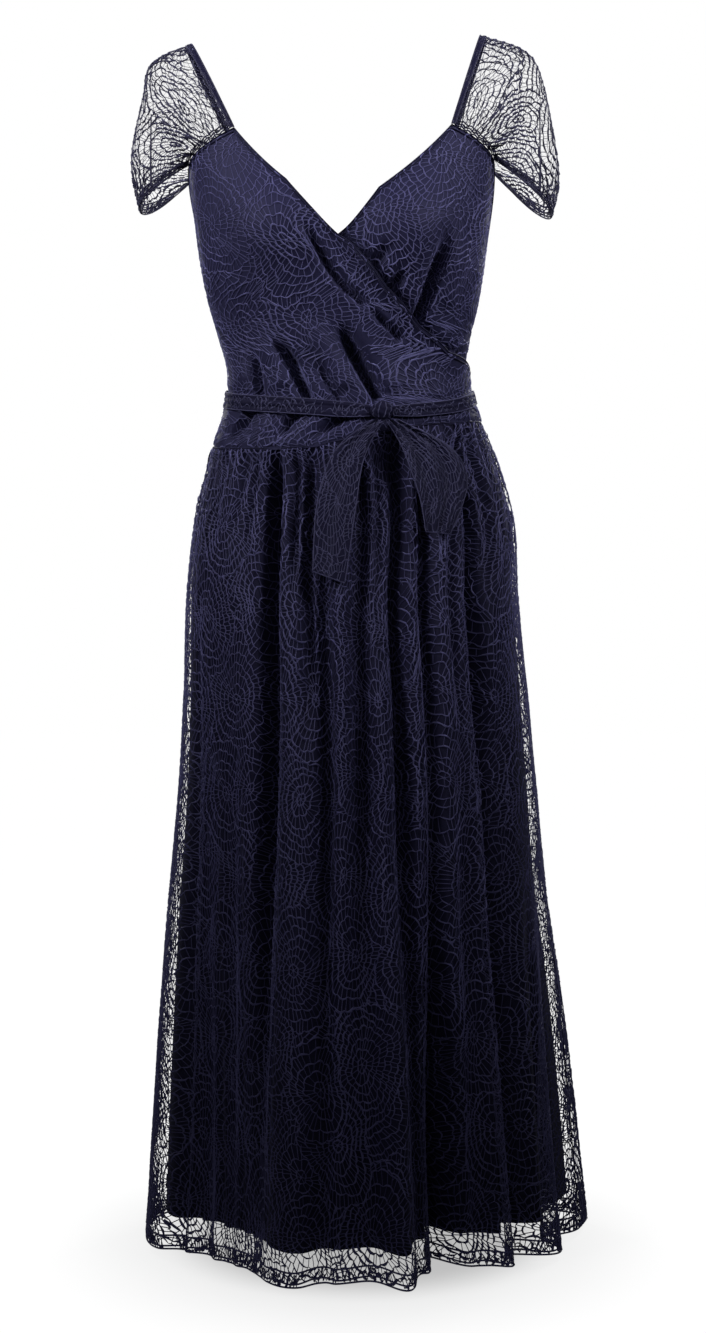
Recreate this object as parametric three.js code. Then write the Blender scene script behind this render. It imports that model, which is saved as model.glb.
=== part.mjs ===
// A lace wrap maxi dress in its worn, filled-out form, with nobody in it.
// Millimetres, +Z up, front towards -Y. The origin lies midway between the two
// shoulder points that carry the dress, so everything hangs below it.
//
// Every place on the dress is given by a turn and a height. A turn of 0 is the
// wearer's right side seam (-X), 0.5 the centre front, 1 the left side seam (+X)
// and 1.5 the centre back; 2 is back at 0.
import * as THREE from "three";

const clothThick = 1.2; // lace and lining are walls of this thickness
const waistDown = 405;
const waistShare = 0.3; // share of a bodice panel's rows that lie below the waist
const seamGap = 0.3; // two pieces that are sewn together lie this far apart
const seamTurn = 0.0003; // the same seam gap at the sides, as a share of a turn
const hemDown = 1425; // lace hem below the shoulders
const liningHemDown = 1392; // the skirt lining is shorter than the lace
const tieWidth = 20;
const tieThick = 2;
const tieClear = 2.8; // the tie lies this far outside the lace, where it is flat between folds
const armRoom = 24; // the sleeve's free edge bulges this far to the front and back
const sleeveLift = 2; // the sleeve leaves the armhole corner this far above the bodice
const sleeveLong = { seam: 66, crown: 234 }; // neck edge to free edge, at the armhole and over the shoulder
const bandWidth = 9; // binding along the neck edge of each sleeve
const bandThick = 1.6;

// Body of the dress, ring by ring: how far down it is, where its middle is across
// the dress, its half width, its depth in front and behind, and how square it is
// (2 is an ellipse, and a larger number is flatter in front and at the sides).
const sections = [
  { down: 90, centre: 7, half: 184, front: 80, back: 86, square: 2.5 },
  { down: 170, centre: 5.5, half: 182, front: 103, back: 100, square: 2.5 },
  { down: 230, centre: 6, half: 173, front: 112, back: 104, square: 2.5 },
  { down: 312, centre: 7, half: 161, front: 108, back: 98, square: 2.5 },
  { down: 360, centre: 8, half: 149, front: 101, back: 93, square: 2.4 },
  { down: 405, centre: 11, half: 141, front: 97, back: 92, square: 2.25 },
  { down: 456, centre: 14, half: 151, front: 102, back: 104, square: 2.2 },
  { down: 504, centre: 15, half: 169, front: 111, back: 118, square: 2.1 },
  { down: 576, centre: 17, half: 187, front: 124, back: 134, square: 2.05 },
  { down: 672, centre: 15, half: 194.5, front: 142, back: 148, square: 2 },
  { down: 792, centre: 19, half: 202, front: 160, back: 160, square: 2 },
  { down: 912, centre: 21, half: 211, front: 178, back: 174, square: 2 },
  { down: 1032, centre: 21, half: 222, front: 195, back: 188, square: 2 },
  { down: 1152, centre: 24, half: 234, front: 212, back: 202, square: 2 },
  { down: 1272, centre: 26, half: 244, front: 226, back: 214, square: 2 },
  { down: 1425, centre: 29, half: 256, front: 240, back: 228, square: 2 },
];
const bust = { middle: 7, side: 76, down: 243, reach: 27, width: 60, height: 58, sides: 3 };

// The edges of the bodice, as how far down each turn's top or bottom edge is.
const overTop = [
  { turn: 0, down: 245 },
  { turn: 0.084, down: 160 },
  { turn: 0.289, down: 125 },
  { turn: 0.414, down: 193 },
  { turn: 0.494, down: 257 },
  { turn: 0.57, down: 317 },
  { turn: 0.666, down: 359 },
  { turn: 0.778, down: 386 },
  { turn: 1, down: 398 },
];
const underTop = [
  { turn: 0.214, down: 384 },
  { turn: 0.324, down: 345 },
  { turn: 0.494, down: 257 },
  { turn: 0.552, down: 202 },
  { turn: 0.717, down: 119 },
  { turn: 0.922, down: 152 },
  { turn: 1, down: 245 },
];
const backTop = [
  { turn: 1, down: 245 },
  { turn: 1.078, down: 152 },
  { turn: 1.283, down: 119 },
  { turn: 1.506, down: 262 },
  { turn: 1.711, down: 125 },
  { turn: 1.916, down: 160 },
  { turn: 2, down: 245 },
];
// The seam that joins bodice and skirt rises towards the wearer's left.
const waistSeam = [
  { turn: 0, down: 488 },
  { turn: 0.2, down: 497 },
  { turn: 0.42, down: 498 },
  { turn: 0.57, down: 480 },
  { turn: 0.75, down: 468 },
  { turn: 1, down: 462 },
  { turn: 2, down: 488 },
];
const tieLine = [
  { turn: 0, down: 430 },
  { turn: 0.2, down: 443 },
  { turn: 0.4, down: 452 },
  { turn: 0.57, down: 458 },
  { turn: 0.75, down: 450 },
  { turn: 1, down: 429 },
  { turn: 1.5, down: 424 },
  { turn: 2, down: 430 },
];
// Below this the ends of the tie are cut at a slant, which is full after `over`.
const tailSlant = { from: 560, over: 90, long: 14, short: 5 };
// The knot's turn, half sizes, gap to the bodice, and half the turn that the tie leaves free for it.
const knot = { turn: 0.565, across: 13, deep: 7, tall: 10.5, gap: 0.6, free: 0.0305 };

// Soft pleats of the over front, which run in towards the knot: where each starts
// and ends, its half width and how far it stands out.
const pleatGrowth = 0.6; // share of its length in which a pleat builds up
const pleatFade = 0.15; // and in which it dies away
const pleats = [
  { x: -45, down: 232, endX: 62, endDown: 372, width: 13, reach: 4.5 },
  { x: 8, down: 322, endX: 58, endDown: 432, width: 12, reach: 6.5 },
  { x: -38, down: 338, endX: 22, endDown: 430, width: 15, reach: 6 },
  { x: -76, down: 366, endX: -48, endDown: 428, width: 12, reach: 4 },
  { x: -108, down: 380, endX: -97, endDown: 414, width: 11, reach: 3 },
];

// Outer face of each layer, measured out from the body of the dress.
const layers = { overLace: 7.6, overLining: 5.4, underLace: 1.2, underLining: -1.2 };
const layerRamp = 0.15; // share of a turn in which the over front rises from one side and sinks at the other
const overAtLeftSeam = 6.4;

const foldFade = 0.35; // share of its length in which a fold dies away
const rowPower = 0.85; // below 1, the skirt's rows lie closer together near the hem
// The skirt's largest folds: where each starts and ends, its half width and how far
// it stands out (or goes in, where reach is negative). Growth says how slowly it builds up.
const folds = [
  { turn: 0.336, endTurn: 0.35, width: 0.024, reach: -13, from: 470, to: 1250, growth: 0.15 },
  { turn: 0.431, endTurn: 0.45, width: 0.022, reach: -10, from: 470, to: 1150, growth: 0.15 },
  { turn: 0.6, endTurn: 0.562, width: 0.02, reach: -17, from: 450, to: 1150, growth: 0.15 },
  { turn: 0.645, endTurn: 0.615, width: 0.024, reach: -11, from: 470, to: 1100, growth: 0.2 },
  { turn: 0.8, endTurn: 0.74, width: 0.026, reach: -15, from: 450, to: 900, growth: 0.2 },
  { turn: 0.8, endTurn: 0.775, width: 0.032, reach: -14, from: 720, to: 1300, growth: 0.3 },
  { turn: 0.2, endTurn: 0.215, width: 0.055, reach: -42, from: 700, to: 1900, growth: 0.6 },
  { turn: 0.3, endTurn: 0.315, width: 0.035, reach: -28, from: 800, to: 1900, growth: 0.55 },
  { turn: 0.4, endTurn: 0.415, width: 0.04, reach: 26, from: 650, to: 1900, growth: 0.6 },
  { turn: 0.515, endTurn: 0.507, width: 0.03, reach: -12, from: 700, to: 1900, growth: 0.5 },
  { turn: 0.552, endTurn: 0.552, width: 0.022, reach: 33, from: 900, to: 1700, growth: 0.6 },
  { turn: 0.63, endTurn: 0.65, width: 0.038, reach: -86, from: 850, to: 1800, growth: 0.6 },
  { turn: 0.705, endTurn: 0.71, width: 0.026, reach: -8, from: 850, to: 1800, growth: 0.6 },
  { turn: 0.775, endTurn: 0.785, width: 0.035, reach: -48, from: 900, to: 1800, growth: 0.6 },
  { turn: 0.91, endTurn: 0.925, width: 0.048, reach: -45, from: 900, to: 1800, growth: 0.6 },
  { turn: 1.07, endTurn: 1.075, width: 0.045, reach: 20, from: 650, to: 1900, growth: 0.6 },
  { turn: 1.19, endTurn: 1.18, width: 0.05, reach: -34, from: 620, to: 1900, growth: 0.6 },
  { turn: 1.29, endTurn: 1.28, width: 0.045, reach: 21, from: 560, to: 1900, growth: 0.6 },
  { turn: 1.38, endTurn: 1.4, width: 0.05, reach: -36, from: 600, to: 1900, growth: 0.6 },
  { turn: 1.49, endTurn: 1.5, width: 0.04, reach: 25, from: 540, to: 1900, growth: 0.6 },
  { turn: 1.6, endTurn: 1.59, width: 0.052, reach: -33, from: 600, to: 1900, growth: 0.6 },
  { turn: 1.69, endTurn: 1.7, width: 0.042, reach: 22, from: 560, to: 1900, growth: 0.6 },
  { turn: 1.8, endTurn: 1.81, width: 0.05, reach: -36, from: 620, to: 1900, growth: 0.6 },
];

// How far the skirt lining hangs inside the lace, all round and more at the sides.
const liningClear = { seam: 2.6, hem: 12, sides: 10 };

// Each sleeve from the neck edge over the shoulder and down the arm to its free edge.
const sleeves = {
  right: {
    seam: [
      { turn: 0.289, down: 125 },
      { turn: 0.084, down: 160 },
    ],
    crown: [
      { share: 0, x: -175, down: 8 },
      { share: 0.16, x: -211, down: 22 },
      { share: 0.26, x: -228, down: 38 },
      { share: 0.38, x: -233, down: 66 },
      { share: 0.65, x: -246, down: 128 },
      { share: 0.8, x: -247, down: 163 },
      { share: 1, x: -237, down: 208 },
    ],
  },
  left: {
    seam: [
      { turn: 0.717, down: 119 },
      { turn: 0.922, down: 152 },
    ],
    crown: [
      { share: 0, x: 170, down: -3 },
      { share: 0.18, x: 212, down: 9 },
      { share: 0.28, x: 233, down: 23 },
      { share: 0.4, x: 245, down: 50 },
      { share: 0.65, x: 258, down: 112 },
      { share: 0.82, x: 265, down: 168 },
      { share: 1, x: 256, down: 214 },
    ],
  },
};

// The two hanging ends of the tie: left and right edge, and how far they stand
// outside the body of the dress.
const longTail = [
  { down: 468.6, left: 40, right: 52, proud: 16 },
  { down: 495, left: 6, right: 37, proud: 14 },
  { down: 522, left: -10, right: 28, proud: 13 },
  { down: 570, left: -22, right: 21, proud: 12.5 },
  { down: 644, left: -26, right: 9, proud: 12.5 },
];
const shortTail = [
  { down: 468.6, left: 53.5, right: 68, proud: 16 },
  { down: 497, left: 70, right: 124, proud: 14.5 },
  { down: 530, left: 82, right: 144, proud: 14 },
  { down: 565, left: 92, right: 139, proud: 14 },
  { down: 598, left: 97, right: 125, proud: 13.5 },
];

const dress = new THREE.Group();
const lace = new THREE.MeshStandardMaterial({ color: 0x1d1d3c, roughness: 0.72, metalness: 0 });
const lining = new THREE.MeshStandardMaterial({ color: 0x14142c, roughness: 0.6, metalness: 0 });
const trim = new THREE.MeshStandardMaterial({ color: 0x191935, roughness: 0.75, metalness: 0 });

function place(rows, by, at) {
  let i = 1;
  while (i < rows.length - 1 && rows[i][by] < at) i += 1;
  return i;
}

// A value read off a table along straight lines, for edges with corners.
function straight(rows, by, key, at) {
  const i = place(rows, by, at);
  const [a, b] = [rows[i - 1], rows[i]];
  const share = THREE.MathUtils.clamp((at - a[by]) / (b[by] - a[by]), 0, 1);
  return a[key] + (b[key] - a[key]) * share;
}

// The same along a smooth curve.
function smooth(rows, by, key, at) {
  const i = place(rows, by, at);
  const [a, b] = [rows[i - 1], rows[i]];
  const slope = (k) => {
    const [p, q] = [rows[Math.max(k - 1, 0)], rows[Math.min(k + 1, rows.length - 1)]];
    return (q[key] - p[key]) / (q[by] - p[by]);
  };
  const span = b[by] - a[by];
  const s = THREE.MathUtils.clamp((at - a[by]) / span, 0, 1);
  const ease = s * s * (3 - 2 * s);
  const bend = slope(i - 1) * s * (1 - s) ** 2 - slope(i) * s * s * (1 - s);
  return a[key] * (1 - ease) + b[key] * ease + span * bend;
}

function ease(x) {
  return THREE.MathUtils.smoothstep(x, 0, 1);
}

function bustReach(x, down) {
  const side = (Math.abs(x - bust.middle) - bust.side) / bust.width;
  const height = (down - bust.down) / bust.height;
  return bust.reach * Math.exp(-side * side - height * height);
}

function foldReach(turn, down) {
  let reach = 0;
  for (const f of folds) {
    const s = (down - f.from) / (f.to - f.from);
    if (s <= 0 || s >= 1) continue;
    const apart = turn - (f.turn + (f.endTurn - f.turn) * s);
    const away = (apart - 2 * Math.round(apart / 2)) / f.width;
    reach += f.reach * ease(s / f.growth) * ease((1 - s) / foldFade) * Math.exp(-away * away);
  }
  return reach;
}

function pleatReach(x, down) {
  let reach = 0;
  for (const p of pleats) {
    const [dx, dy] = [p.endX - p.x, p.endDown - p.down];
    const long = Math.hypot(dx, dy);
    const s = ((x - p.x) * dx + (down - p.down) * dy) / long ** 2;
    const away = ((x - p.x) * dy - (down - p.down) * dx) / long / p.width;
    const fade = ease(s / pleatGrowth) * ease((1 - s) / pleatFade);
    if (s > 0 && s < 1) reach += p.reach * fade * Math.exp(-away * away);
  }
  return reach;
}

// A point of the dress, `out` millimetres outside its body.
function onBody(turn, down, out) {
  const angle = Math.PI * turn;
  const [cos, sin] = [Math.cos(angle), Math.sin(angle)];
  const square = smooth(sections, "down", "square", down);
  const [across, deep] = [cos, sin].map((v) => Math.sign(v) * Math.abs(v) ** (2 / square));
  const half = smooth(sections, "down", "half", down);
  const depth = smooth(sections, "down", sin >= 0 ? "front" : "back", down);
  const x = smooth(sections, "down", "centre", down) - half * across;
  const y = -depth * deep;
  const reach = out + (sin > 0 ? bustReach(x, down) * Math.min(1, bust.sides * sin) : 0);
  const [nx, ny] = [[across, half], [deep, depth]].map(
    ([v, size]) => (-Math.sign(v) * Math.abs(v) ** (square - 1)) / size,
  );
  const long = Math.hypot(nx, ny);
  return new THREE.Vector3(x + (nx / long) * reach, y + (ny / long) * reach, -down);
}

// The turn at which the front of the body lies a given distance across the dress.
function turnAt(x, down) {
  const side = (smooth(sections, "down", "centre", down) - x) / smooth(sections, "down", "half", down);
  const square = smooth(sections, "down", "square", down);
  return Math.acos(Math.sign(side) * Math.abs(side) ** (square / 2)) / Math.PI;
}

// The over front leaves the right side seam level with the back, and rises over the under front.
function overOut(turn, layer) {
  const level = layer === "overLace" ? layers.underLace : layers.underLining;
  const right = level + (layers[layer] - level) * ease(turn / layerRamp);
  const drop = (layers.overLace - overAtLeftSeam) * ease((turn - 1 + layerRamp) / layerRamp);
  return right - drop;
}

// Where the skirt's lace hangs from: below the over front, and below the back.
function skirtOut(turn) {
  if (turn <= 1) return overOut(turn, "overLace");
  return overAtLeftSeam + (layers.underLace - overAtLeftSeam) * ease((turn - 1) / layerRamp);
}

// A closed wall: point(a, b) is its outer face, and its inner face lies `thick` behind.
function wall(point, across, along, thick, inward) {
  const step = 1e-4;
  const outer = [];
  const inner = [];
  for (const b of along)
    for (const a of across) {
      const at = point(a, b);
      const da = point(a + step, b).sub(point(a - step, b));
      const db = point(a, b + step).sub(point(a, b - step));
      const normal = da.cross(db).normalize().multiplyScalar(inward * thick);
      outer.push(at);
      inner.push(at.clone().add(normal));
    }
  const [columns, rows] = [across.length, along.length];
  const behind = columns * rows;
  const faces = [];
  const quad = (p, q, r, s) => faces.push(p, q, r, p, r, s);
  const quadBack = (p, q, r, s) => faces.push(p, r, q, p, s, r);
  const index = (i, j) => j * columns + i;
  for (let j = 0; j < rows - 1; j += 1)
    for (let i = 0; i < columns - 1; i += 1) {
      const [p, q, r, s] = [index(i, j), index(i + 1, j), index(i + 1, j + 1), index(i, j + 1)];
      quad(p, q, r, s);
      quadBack(behind + p, behind + q, behind + r, behind + s);
    }
  const rim = [];
  for (let i = 0; i < columns; i += 1) rim.push(index(i, 0));
  for (let j = 1; j < rows; j += 1) rim.push(index(columns - 1, j));
  for (let i = columns - 2; i >= 0; i -= 1) rim.push(index(i, rows - 1));
  for (let j = rows - 2; j >= 1; j -= 1) rim.push(index(0, j));
  rim.forEach((p, k) => {
    const q = rim[(k + 1) % rim.length];
    quad(p, p + behind, q + behind, q);
  });
  return facingOut([...outer, ...inner], faces);
}

// A geometry with its faces turned outwards.
function facingOut(points, faces) {
  let volume = 0;
  for (let k = 0; k < faces.length; k += 3) {
    const [a, b, c] = [points[faces[k]], points[faces[k + 1]], points[faces[k + 2]]];
    volume += a.dot(new THREE.Vector3().crossVectors(b, c));
  }
  const turned = volume > 0 ? faces : faces.slice().reverse();
  const geometry = new THREE.BufferGeometry().setFromPoints(points);
  geometry.setIndex(turned);
  geometry.computeVertexNormals();
  return geometry;
}

// Evenly spaced values, with the ones that an edge's corners need.
function spaced(from, to, count, corners = []) {
  const step = (to - from) / count;
  const clear = step * 0.45;
  const inside = corners.filter((c) => c > from + step * 0.2 && c < to - step * 0.2);
  const even = Array.from({ length: count + 1 }, (_, k) => from + step * k);
  const kept = even.filter((v, k) => k === 0 || k === count || inside.every((c) => Math.abs(c - v) > clear));
  return [...kept, ...inside].sort((p, q) => p - q);
}

function add(name, geometry, material) {
  const mesh = new THREE.Mesh(geometry, material);
  mesh.name = name;
  dress.add(mesh);
}

// A bodice panel from the waist seam up to its top edge.
function bodicePanel(name, top, from, to, count, rows, out, material) {
  const turns = spaced(from + seamTurn, to - seamTurn, count, top.map((p) => p.turn));
  const point = (turn, share) => {
    const low = smooth(waistSeam, "turn", "down", turn) - seamGap;
    const high = straight(top, "turn", "down", turn);
    const rise = [
      { share: 0, down: low },
      { share: waistShare, down: waistDown },
      { share: 1, down: high },
    ];
    const down = straight(rise, "share", "down", share);
    return onBody(turn, down, out(turn, onBody(turn, down, 0).x, down));
  };
  add(name, wall(point, turns, spaced(0, 1, rows, [waistShare]), clothThick, -1), material);
}

function bodice() {
  const over = (layer) => (turn, x, down) => overOut(turn, layer) + pleatReach(x, down);
  bodicePanel("bodice_over_front", overTop, 0, 1, 24, 7, over("overLace"), lace);
  bodicePanel("bodice_over_lining", overTop, 0, 1, 24, 7, over("overLining"), lining);
  bodicePanel("bodice_under_front", underTop, 0.214, 1, 16, 7, () => layers.underLace, lace);
  bodicePanel("bodice_under_lining", underTop, 0.214, 1, 16, 7, () => layers.underLining, lining);
  bodicePanel("bodice_back", backTop, 1, 2, 18, 6, () => layers.underLace, lace);
  bodicePanel("bodice_back_lining", backTop, 1, 2, 18, 6, () => layers.underLining, lining);
}

// A skirt panel from the waist seam down to its hem.
function skirtPanel(name, from, to, count, rows, hem, clear, material) {
  const point = (turn, share) => {
    const high = smooth(waistSeam, "turn", "down", turn) + seamGap;
    const down = high + (hem - high) * share;
    return onBody(turn, down, skirtOut(turn) + foldReach(turn, down) - clear(turn, share));
  };
  const middles = folds.map((f) => (f.turn + f.endTurn) / 2);
  const turns = spaced(from + seamTurn, to - seamTurn, count, middles);
  const shares = spaced(0, 1, rows).map((s) => s ** rowPower);
  add(name, wall(point, turns, shares, clothThick, 1), material);
}

function skirt() {
  const none = () => 0;
  const hang = (turn, share) => {
    const sides = liningClear.sides * Math.cos(Math.PI * turn) ** 2;
    return liningClear.seam + (liningClear.hem - liningClear.seam + sides) * share;
  };
  skirtPanel("skirt_front", 0, 1, 32, 8, hemDown, none, lace);
  skirtPanel("skirt_back", 1, 2, 26, 6, hemDown, none, lace);
  skirtPanel("skirt_front_lining", 0, 1, 32, 7, liningHemDown, hang, lining);
  skirtPanel("skirt_back_lining", 1, 2, 26, 5, liningHemDown, hang, lining);
}

// A place on a sleeve: round runs from the front seam over the shoulder to the back seam,
// and share from the neck edge to the free edge.
function onSleeve(sleeve, round, share, over) {
  const back = round > 0.5;
  const [inner, outer] = sleeve.seam;
  const turn = inner.turn + (outer.turn - inner.turn) * share;
  const out = over ? overOut(turn, "overLace") : layers.underLace;
  const down = inner.down + (outer.down - inner.down) * share - seamGap - sleeveLift * share * share;
  const foot = back ? onBody(2 - turn, down, layers.underLace) : onBody(turn, down, out);
  const [crownX, crownDown] = ["x", "down"].map((key) => smooth(sleeve.crown, "share", key, share));
  const lift = Math.sin(Math.PI * round);
  return new THREE.Vector3(
    foot.x + (crownX - foot.x) * lift,
    foot.y * Math.abs(Math.cos(Math.PI * round)) - armRoom * share * Math.sin(2 * Math.PI * round),
    foot.z + (-crownDown - foot.z) * lift,
  );
}

function sleevePieces(side, inward) {
  const sleeve = sleeves[side];
  const over = side === "right";
  const { seam, crown } = sleeveLong;
  const long = (round) => seam + (crown - seam) * Math.sin(Math.PI * round);
  const rounds = spaced(0, 1, 12);
  const body = (round, s) => {
    const start = (bandWidth + seamGap) / long(round);
    return onSleeve(sleeve, round, start + (1 - start) * s, over);
  };
  const band = (round, s) => onSleeve(sleeve, round, (bandWidth / long(round)) * s, over);
  add(`sleeve_${side}`, wall(body, rounds, [0, 0.12, 0.25, 0.4, 0.6, 0.8, 1], clothThick, inward), lace);
  add(`sleeve_${side}_band`, wall(band, spaced(0, 1, 16), [0, 1], bandThick, inward), trim);
}

// A stretch of the tie, wrapped round the waist outside the bodice.
function tieStretch(name, from, to, count) {
  const point = (turn, share) => {
    const out = skirtOut(turn) + tieThick + tieClear;
    return onBody(turn, smooth(tieLine, "turn", "down", turn) + tieWidth * share, out);
  };
  add(name, wall(point, spaced(from, to, count), [-0.5, 0.5], tieThick, 1), trim);
}

// A hanging end of the tie, which lies on the skirt.
function tail(name, rows, slant) {
  const point = (share, down) => {
    const [left, right, proud] = ["left", "right", "proud"].map((key) => smooth(rows, "down", key, down));
    const fallen = down + ease((down - tailSlant.from) / tailSlant.over) * slant * share;
    return onBody(turnAt(left + (right - left) * share, fallen), fallen, proud);
  };
  add(name, wall(point, spaced(0, 1, 4), spaced(rows[0].down, rows.at(-1).down, 8), tieThick, 1), trim);
}

function tie() {
  tieStretch("tie_front_right", seamTurn, knot.turn - knot.free, 12);
  tieStretch("tie_front_left", knot.turn + knot.free, 1 - seamTurn, 9);
  tieStretch("tie_back", 1 + seamTurn, 2 - seamTurn, 15);
  const ball = new THREE.SphereGeometry(1, 12, 8).rotateX(Math.PI / 2);
  ball.scale(knot.across, knot.deep, knot.tall);
  const down = smooth(tieLine, "turn", "down", knot.turn);
  const at = onBody(knot.turn, down, layers.overLace + knot.deep + knot.gap);
  ball.translate(at.x, at.y, at.z);
  add("tie_knot", ball, trim);
  tail("tie_long_end", longTail, tailSlant.long);
  tail("tie_short_end", shortTail, tailSlant.short);
}

bodice();
skirt();
sleevePieces("right", 1);
sleevePieces("left", -1);
tie();

export default dress;
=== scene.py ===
import math
import bmesh
import bpy
import numpy as np
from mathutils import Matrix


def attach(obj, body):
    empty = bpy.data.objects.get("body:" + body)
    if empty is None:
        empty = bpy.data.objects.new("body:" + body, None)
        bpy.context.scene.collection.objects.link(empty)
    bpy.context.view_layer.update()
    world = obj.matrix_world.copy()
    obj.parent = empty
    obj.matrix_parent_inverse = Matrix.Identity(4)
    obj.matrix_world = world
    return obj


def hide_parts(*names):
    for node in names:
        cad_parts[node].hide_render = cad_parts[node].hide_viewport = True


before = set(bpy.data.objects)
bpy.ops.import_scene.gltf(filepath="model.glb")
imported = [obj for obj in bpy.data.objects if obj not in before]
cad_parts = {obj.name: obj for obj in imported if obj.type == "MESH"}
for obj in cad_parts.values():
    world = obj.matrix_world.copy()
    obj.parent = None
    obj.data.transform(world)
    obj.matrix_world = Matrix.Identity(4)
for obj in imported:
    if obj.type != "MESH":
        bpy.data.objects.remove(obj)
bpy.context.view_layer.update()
bpy.ops.object.select_all(action="DESELECT")
mm = 0.001

# A place on the dress is a turn round it and a drop below the shoulders, in millimetres.
# Turn 0 is the right side seam (-X), 0.5 the centre front, 1 the left side seam and
# 1.5 the centre back. Tables list their columns by name.

# view, lamps and floor, in metres
studio = {
    "eye": (0.018, -2.7, -0.752),
    "lens": 60.77,
    "sensor": 36,
    "farthest": 60,
    "floorDrop": 1.4335,
    "floorSize": 40,
    "softLight": 0.085,
    "lamps": {
        "left": {"at": (-1.3, -1.0, 0.52), "aim": (-0.04, 0, 0.02), "power": 7.0, "size": 0.6, "spread": 68},
        "right": {"at": (1.3, -1.0, 0.5), "aim": (0.04, 0, 0.02), "power": 6.0, "size": 0.6, "spread": 68},
        "back_right": {"at": (1.3, 1.9, 0.5), "aim": (0, 0, -0.2), "power": 5.0, "size": 0.6, "spread": 70},
        "back_left": {"at": (-1.3, 1.9, 0.5), "aim": (0, 0, -0.2), "power": 3.5, "size": 0.6, "spread": 70},
        "low": {"at": (-0.5, -2.4, -0.9), "aim": (0, 0, -1.25), "power": 0.1, "size": 0.6, "spread": 30},
        "front": {"at": (-0.2, -2.3, 0.7), "aim": (0, 0, 0.02), "power": 0.6, "size": 0.9, "spread": 50},
    },
}


def setStage():
    bpy.ops.object.camera_add(location=studio["eye"], rotation=(math.pi / 2, 0, 0))
    camera = bpy.context.object
    camera.data.lens = studio["lens"]
    camera.data.sensor_width = studio["sensor"]
    camera.data.clip_end = studio["farthest"]
    bpy.context.scene.camera = camera
    bpy.context.scene.view_settings.view_transform = "Standard"
    for name, settings in studio["lamps"].items():
        bpy.ops.object.light_add(type="AREA", location=settings["at"])
        lamp = bpy.context.object
        lamp.name = name + "_light"
        lamp.data.energy = settings["power"]
        lamp.data.size = settings["size"]
        lamp.data.spread = math.radians(settings["spread"])
        lamp.visible_camera = False
        aim = np.array(settings["aim"]) - np.array(settings["at"])
        lamp.rotation_euler = (
            math.atan2(math.hypot(aim[0], aim[1]), -aim[2]),
            0,
            math.atan2(-aim[0], aim[1]),
        )
    bpy.ops.mesh.primitive_plane_add(size=studio["floorSize"], location=(0, 0, -studio["floorDrop"]))
    floor = bpy.context.object
    floor.name = "floor"
    floor.visible_diffuse = False  # the floor lights nothing
    floor.visible_glossy = False
    return floor


# an expression on wires adds its own maths nodes
class Wire:
    def __init__(self, shade, socket):
        self.shade = shade
        self.socket = socket

    def maths(self, how, first, second):
        return self.shade.node("ShaderNodeMath", {"operation": how}, {0: first, 1: second})

    def __add__(self, other):
        return self.maths("ADD", self, other)

    def __radd__(self, other):
        return self.maths("ADD", other, self)

    def __sub__(self, other):
        return self.maths("SUBTRACT", self, other)

    def __rsub__(self, other):
        return self.maths("SUBTRACT", other, self)

    def __mul__(self, other):
        return self.maths("MULTIPLY", self, other)

    def __rmul__(self, other):
        return self.maths("MULTIPLY", other, self)

    def __pow__(self, other):
        return self.maths("POWER", self, other)


class Finish:
    def __init__(self, name):
        self.material = bpy.data.materials.new(name)
        self.material.use_nodes = True
        self.tree = self.material.node_tree
        self.tree.nodes.clear()
        self.place = self.node("ShaderNodeTexCoord", {}, {}, "Object")

    def node(self, kind, settings, values, output=0):
        made = self.tree.nodes.new(kind)
        for key, value in settings.items():
            if key == "stops":
                self.stops(made.color_ramp, value)
            else:
                setattr(made, key, value)
        for key, value in values.items():
            if isinstance(value, Wire):
                self.tree.links.new(value.socket, made.inputs[key])
            else:
                made.inputs[key].default_value = value
        return Wire(self, made.outputs[output])

    def stops(self, ramp, stops):
        while len(ramp.elements) < len(stops):
            ramp.elements.new(0.5)
        for element, (at, tint) in zip(ramp.elements, stops):
            element.position = at
            element.color = tint

    def noise(self, size, detail=2.0, at=None):
        values = {"Vector": at or self.place, "Scale": 1 / size, "Detail": detail}
        return self.node("ShaderNodeTexNoise", {}, values)

    def between(self, share, dark, light):
        values = {0: share, 6: (*dark, 1), 7: (*light, 1)}
        return self.node("ShaderNodeMix", {"data_type": "RGBA"}, values, 2)

    def bump(self, height, strength, deep):
        values = {"Strength": strength, "Distance": deep, "Height": height}
        return self.node("ShaderNodeBump", {}, values)

    def close(self, values):
        shader = self.node("ShaderNodeBsdfPrincipled", {}, values)
        end = self.tree.nodes.new("ShaderNodeOutputMaterial")
        self.tree.links.new(shader.socket, end.inputs["Surface"])
        return self.material


def tint(red, green, blue):
    return tuple((v / 255) ** 2.2 for v in (red, green, blue))


def satinFinish(name, dark, light, rough):
    cloth = Finish(name)
    drift = cloth.noise(0.09, 3)  # slow change of shade
    slub = cloth.node("ShaderNodeMapping", {}, {"Vector": cloth.place, "Scale": (900, 900, 60)})
    streak = cloth.noise(1.0, 2, slub)  # uneven threads down the cloth
    weave = cloth.noise(0.0006, 1)
    speck = cloth.noise(0.0017, 2)
    height = 0.5 * streak + 0.2 * weave + 0.3 * speck
    return cloth.close({
        "Base Color": cloth.between(0.3 * drift + 0.2 * streak + 0.5 * speck, dark, light),
        "Roughness": rough + 0.12 * (drift - 0.5) + 0.1 * (streak - 0.5),
        "Sheen Weight": 0.1,
        "Sheen Roughness": 0.4,
        "Sheen Tint": (0.5, 0.5, 0.85, 1),
        "Specular Tint": (0.6, 0.6, 1, 1),
        "Specular IOR Level": 0.12,
        "Normal": cloth.bump(height, 0.25, 0.0003),
    })


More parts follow.
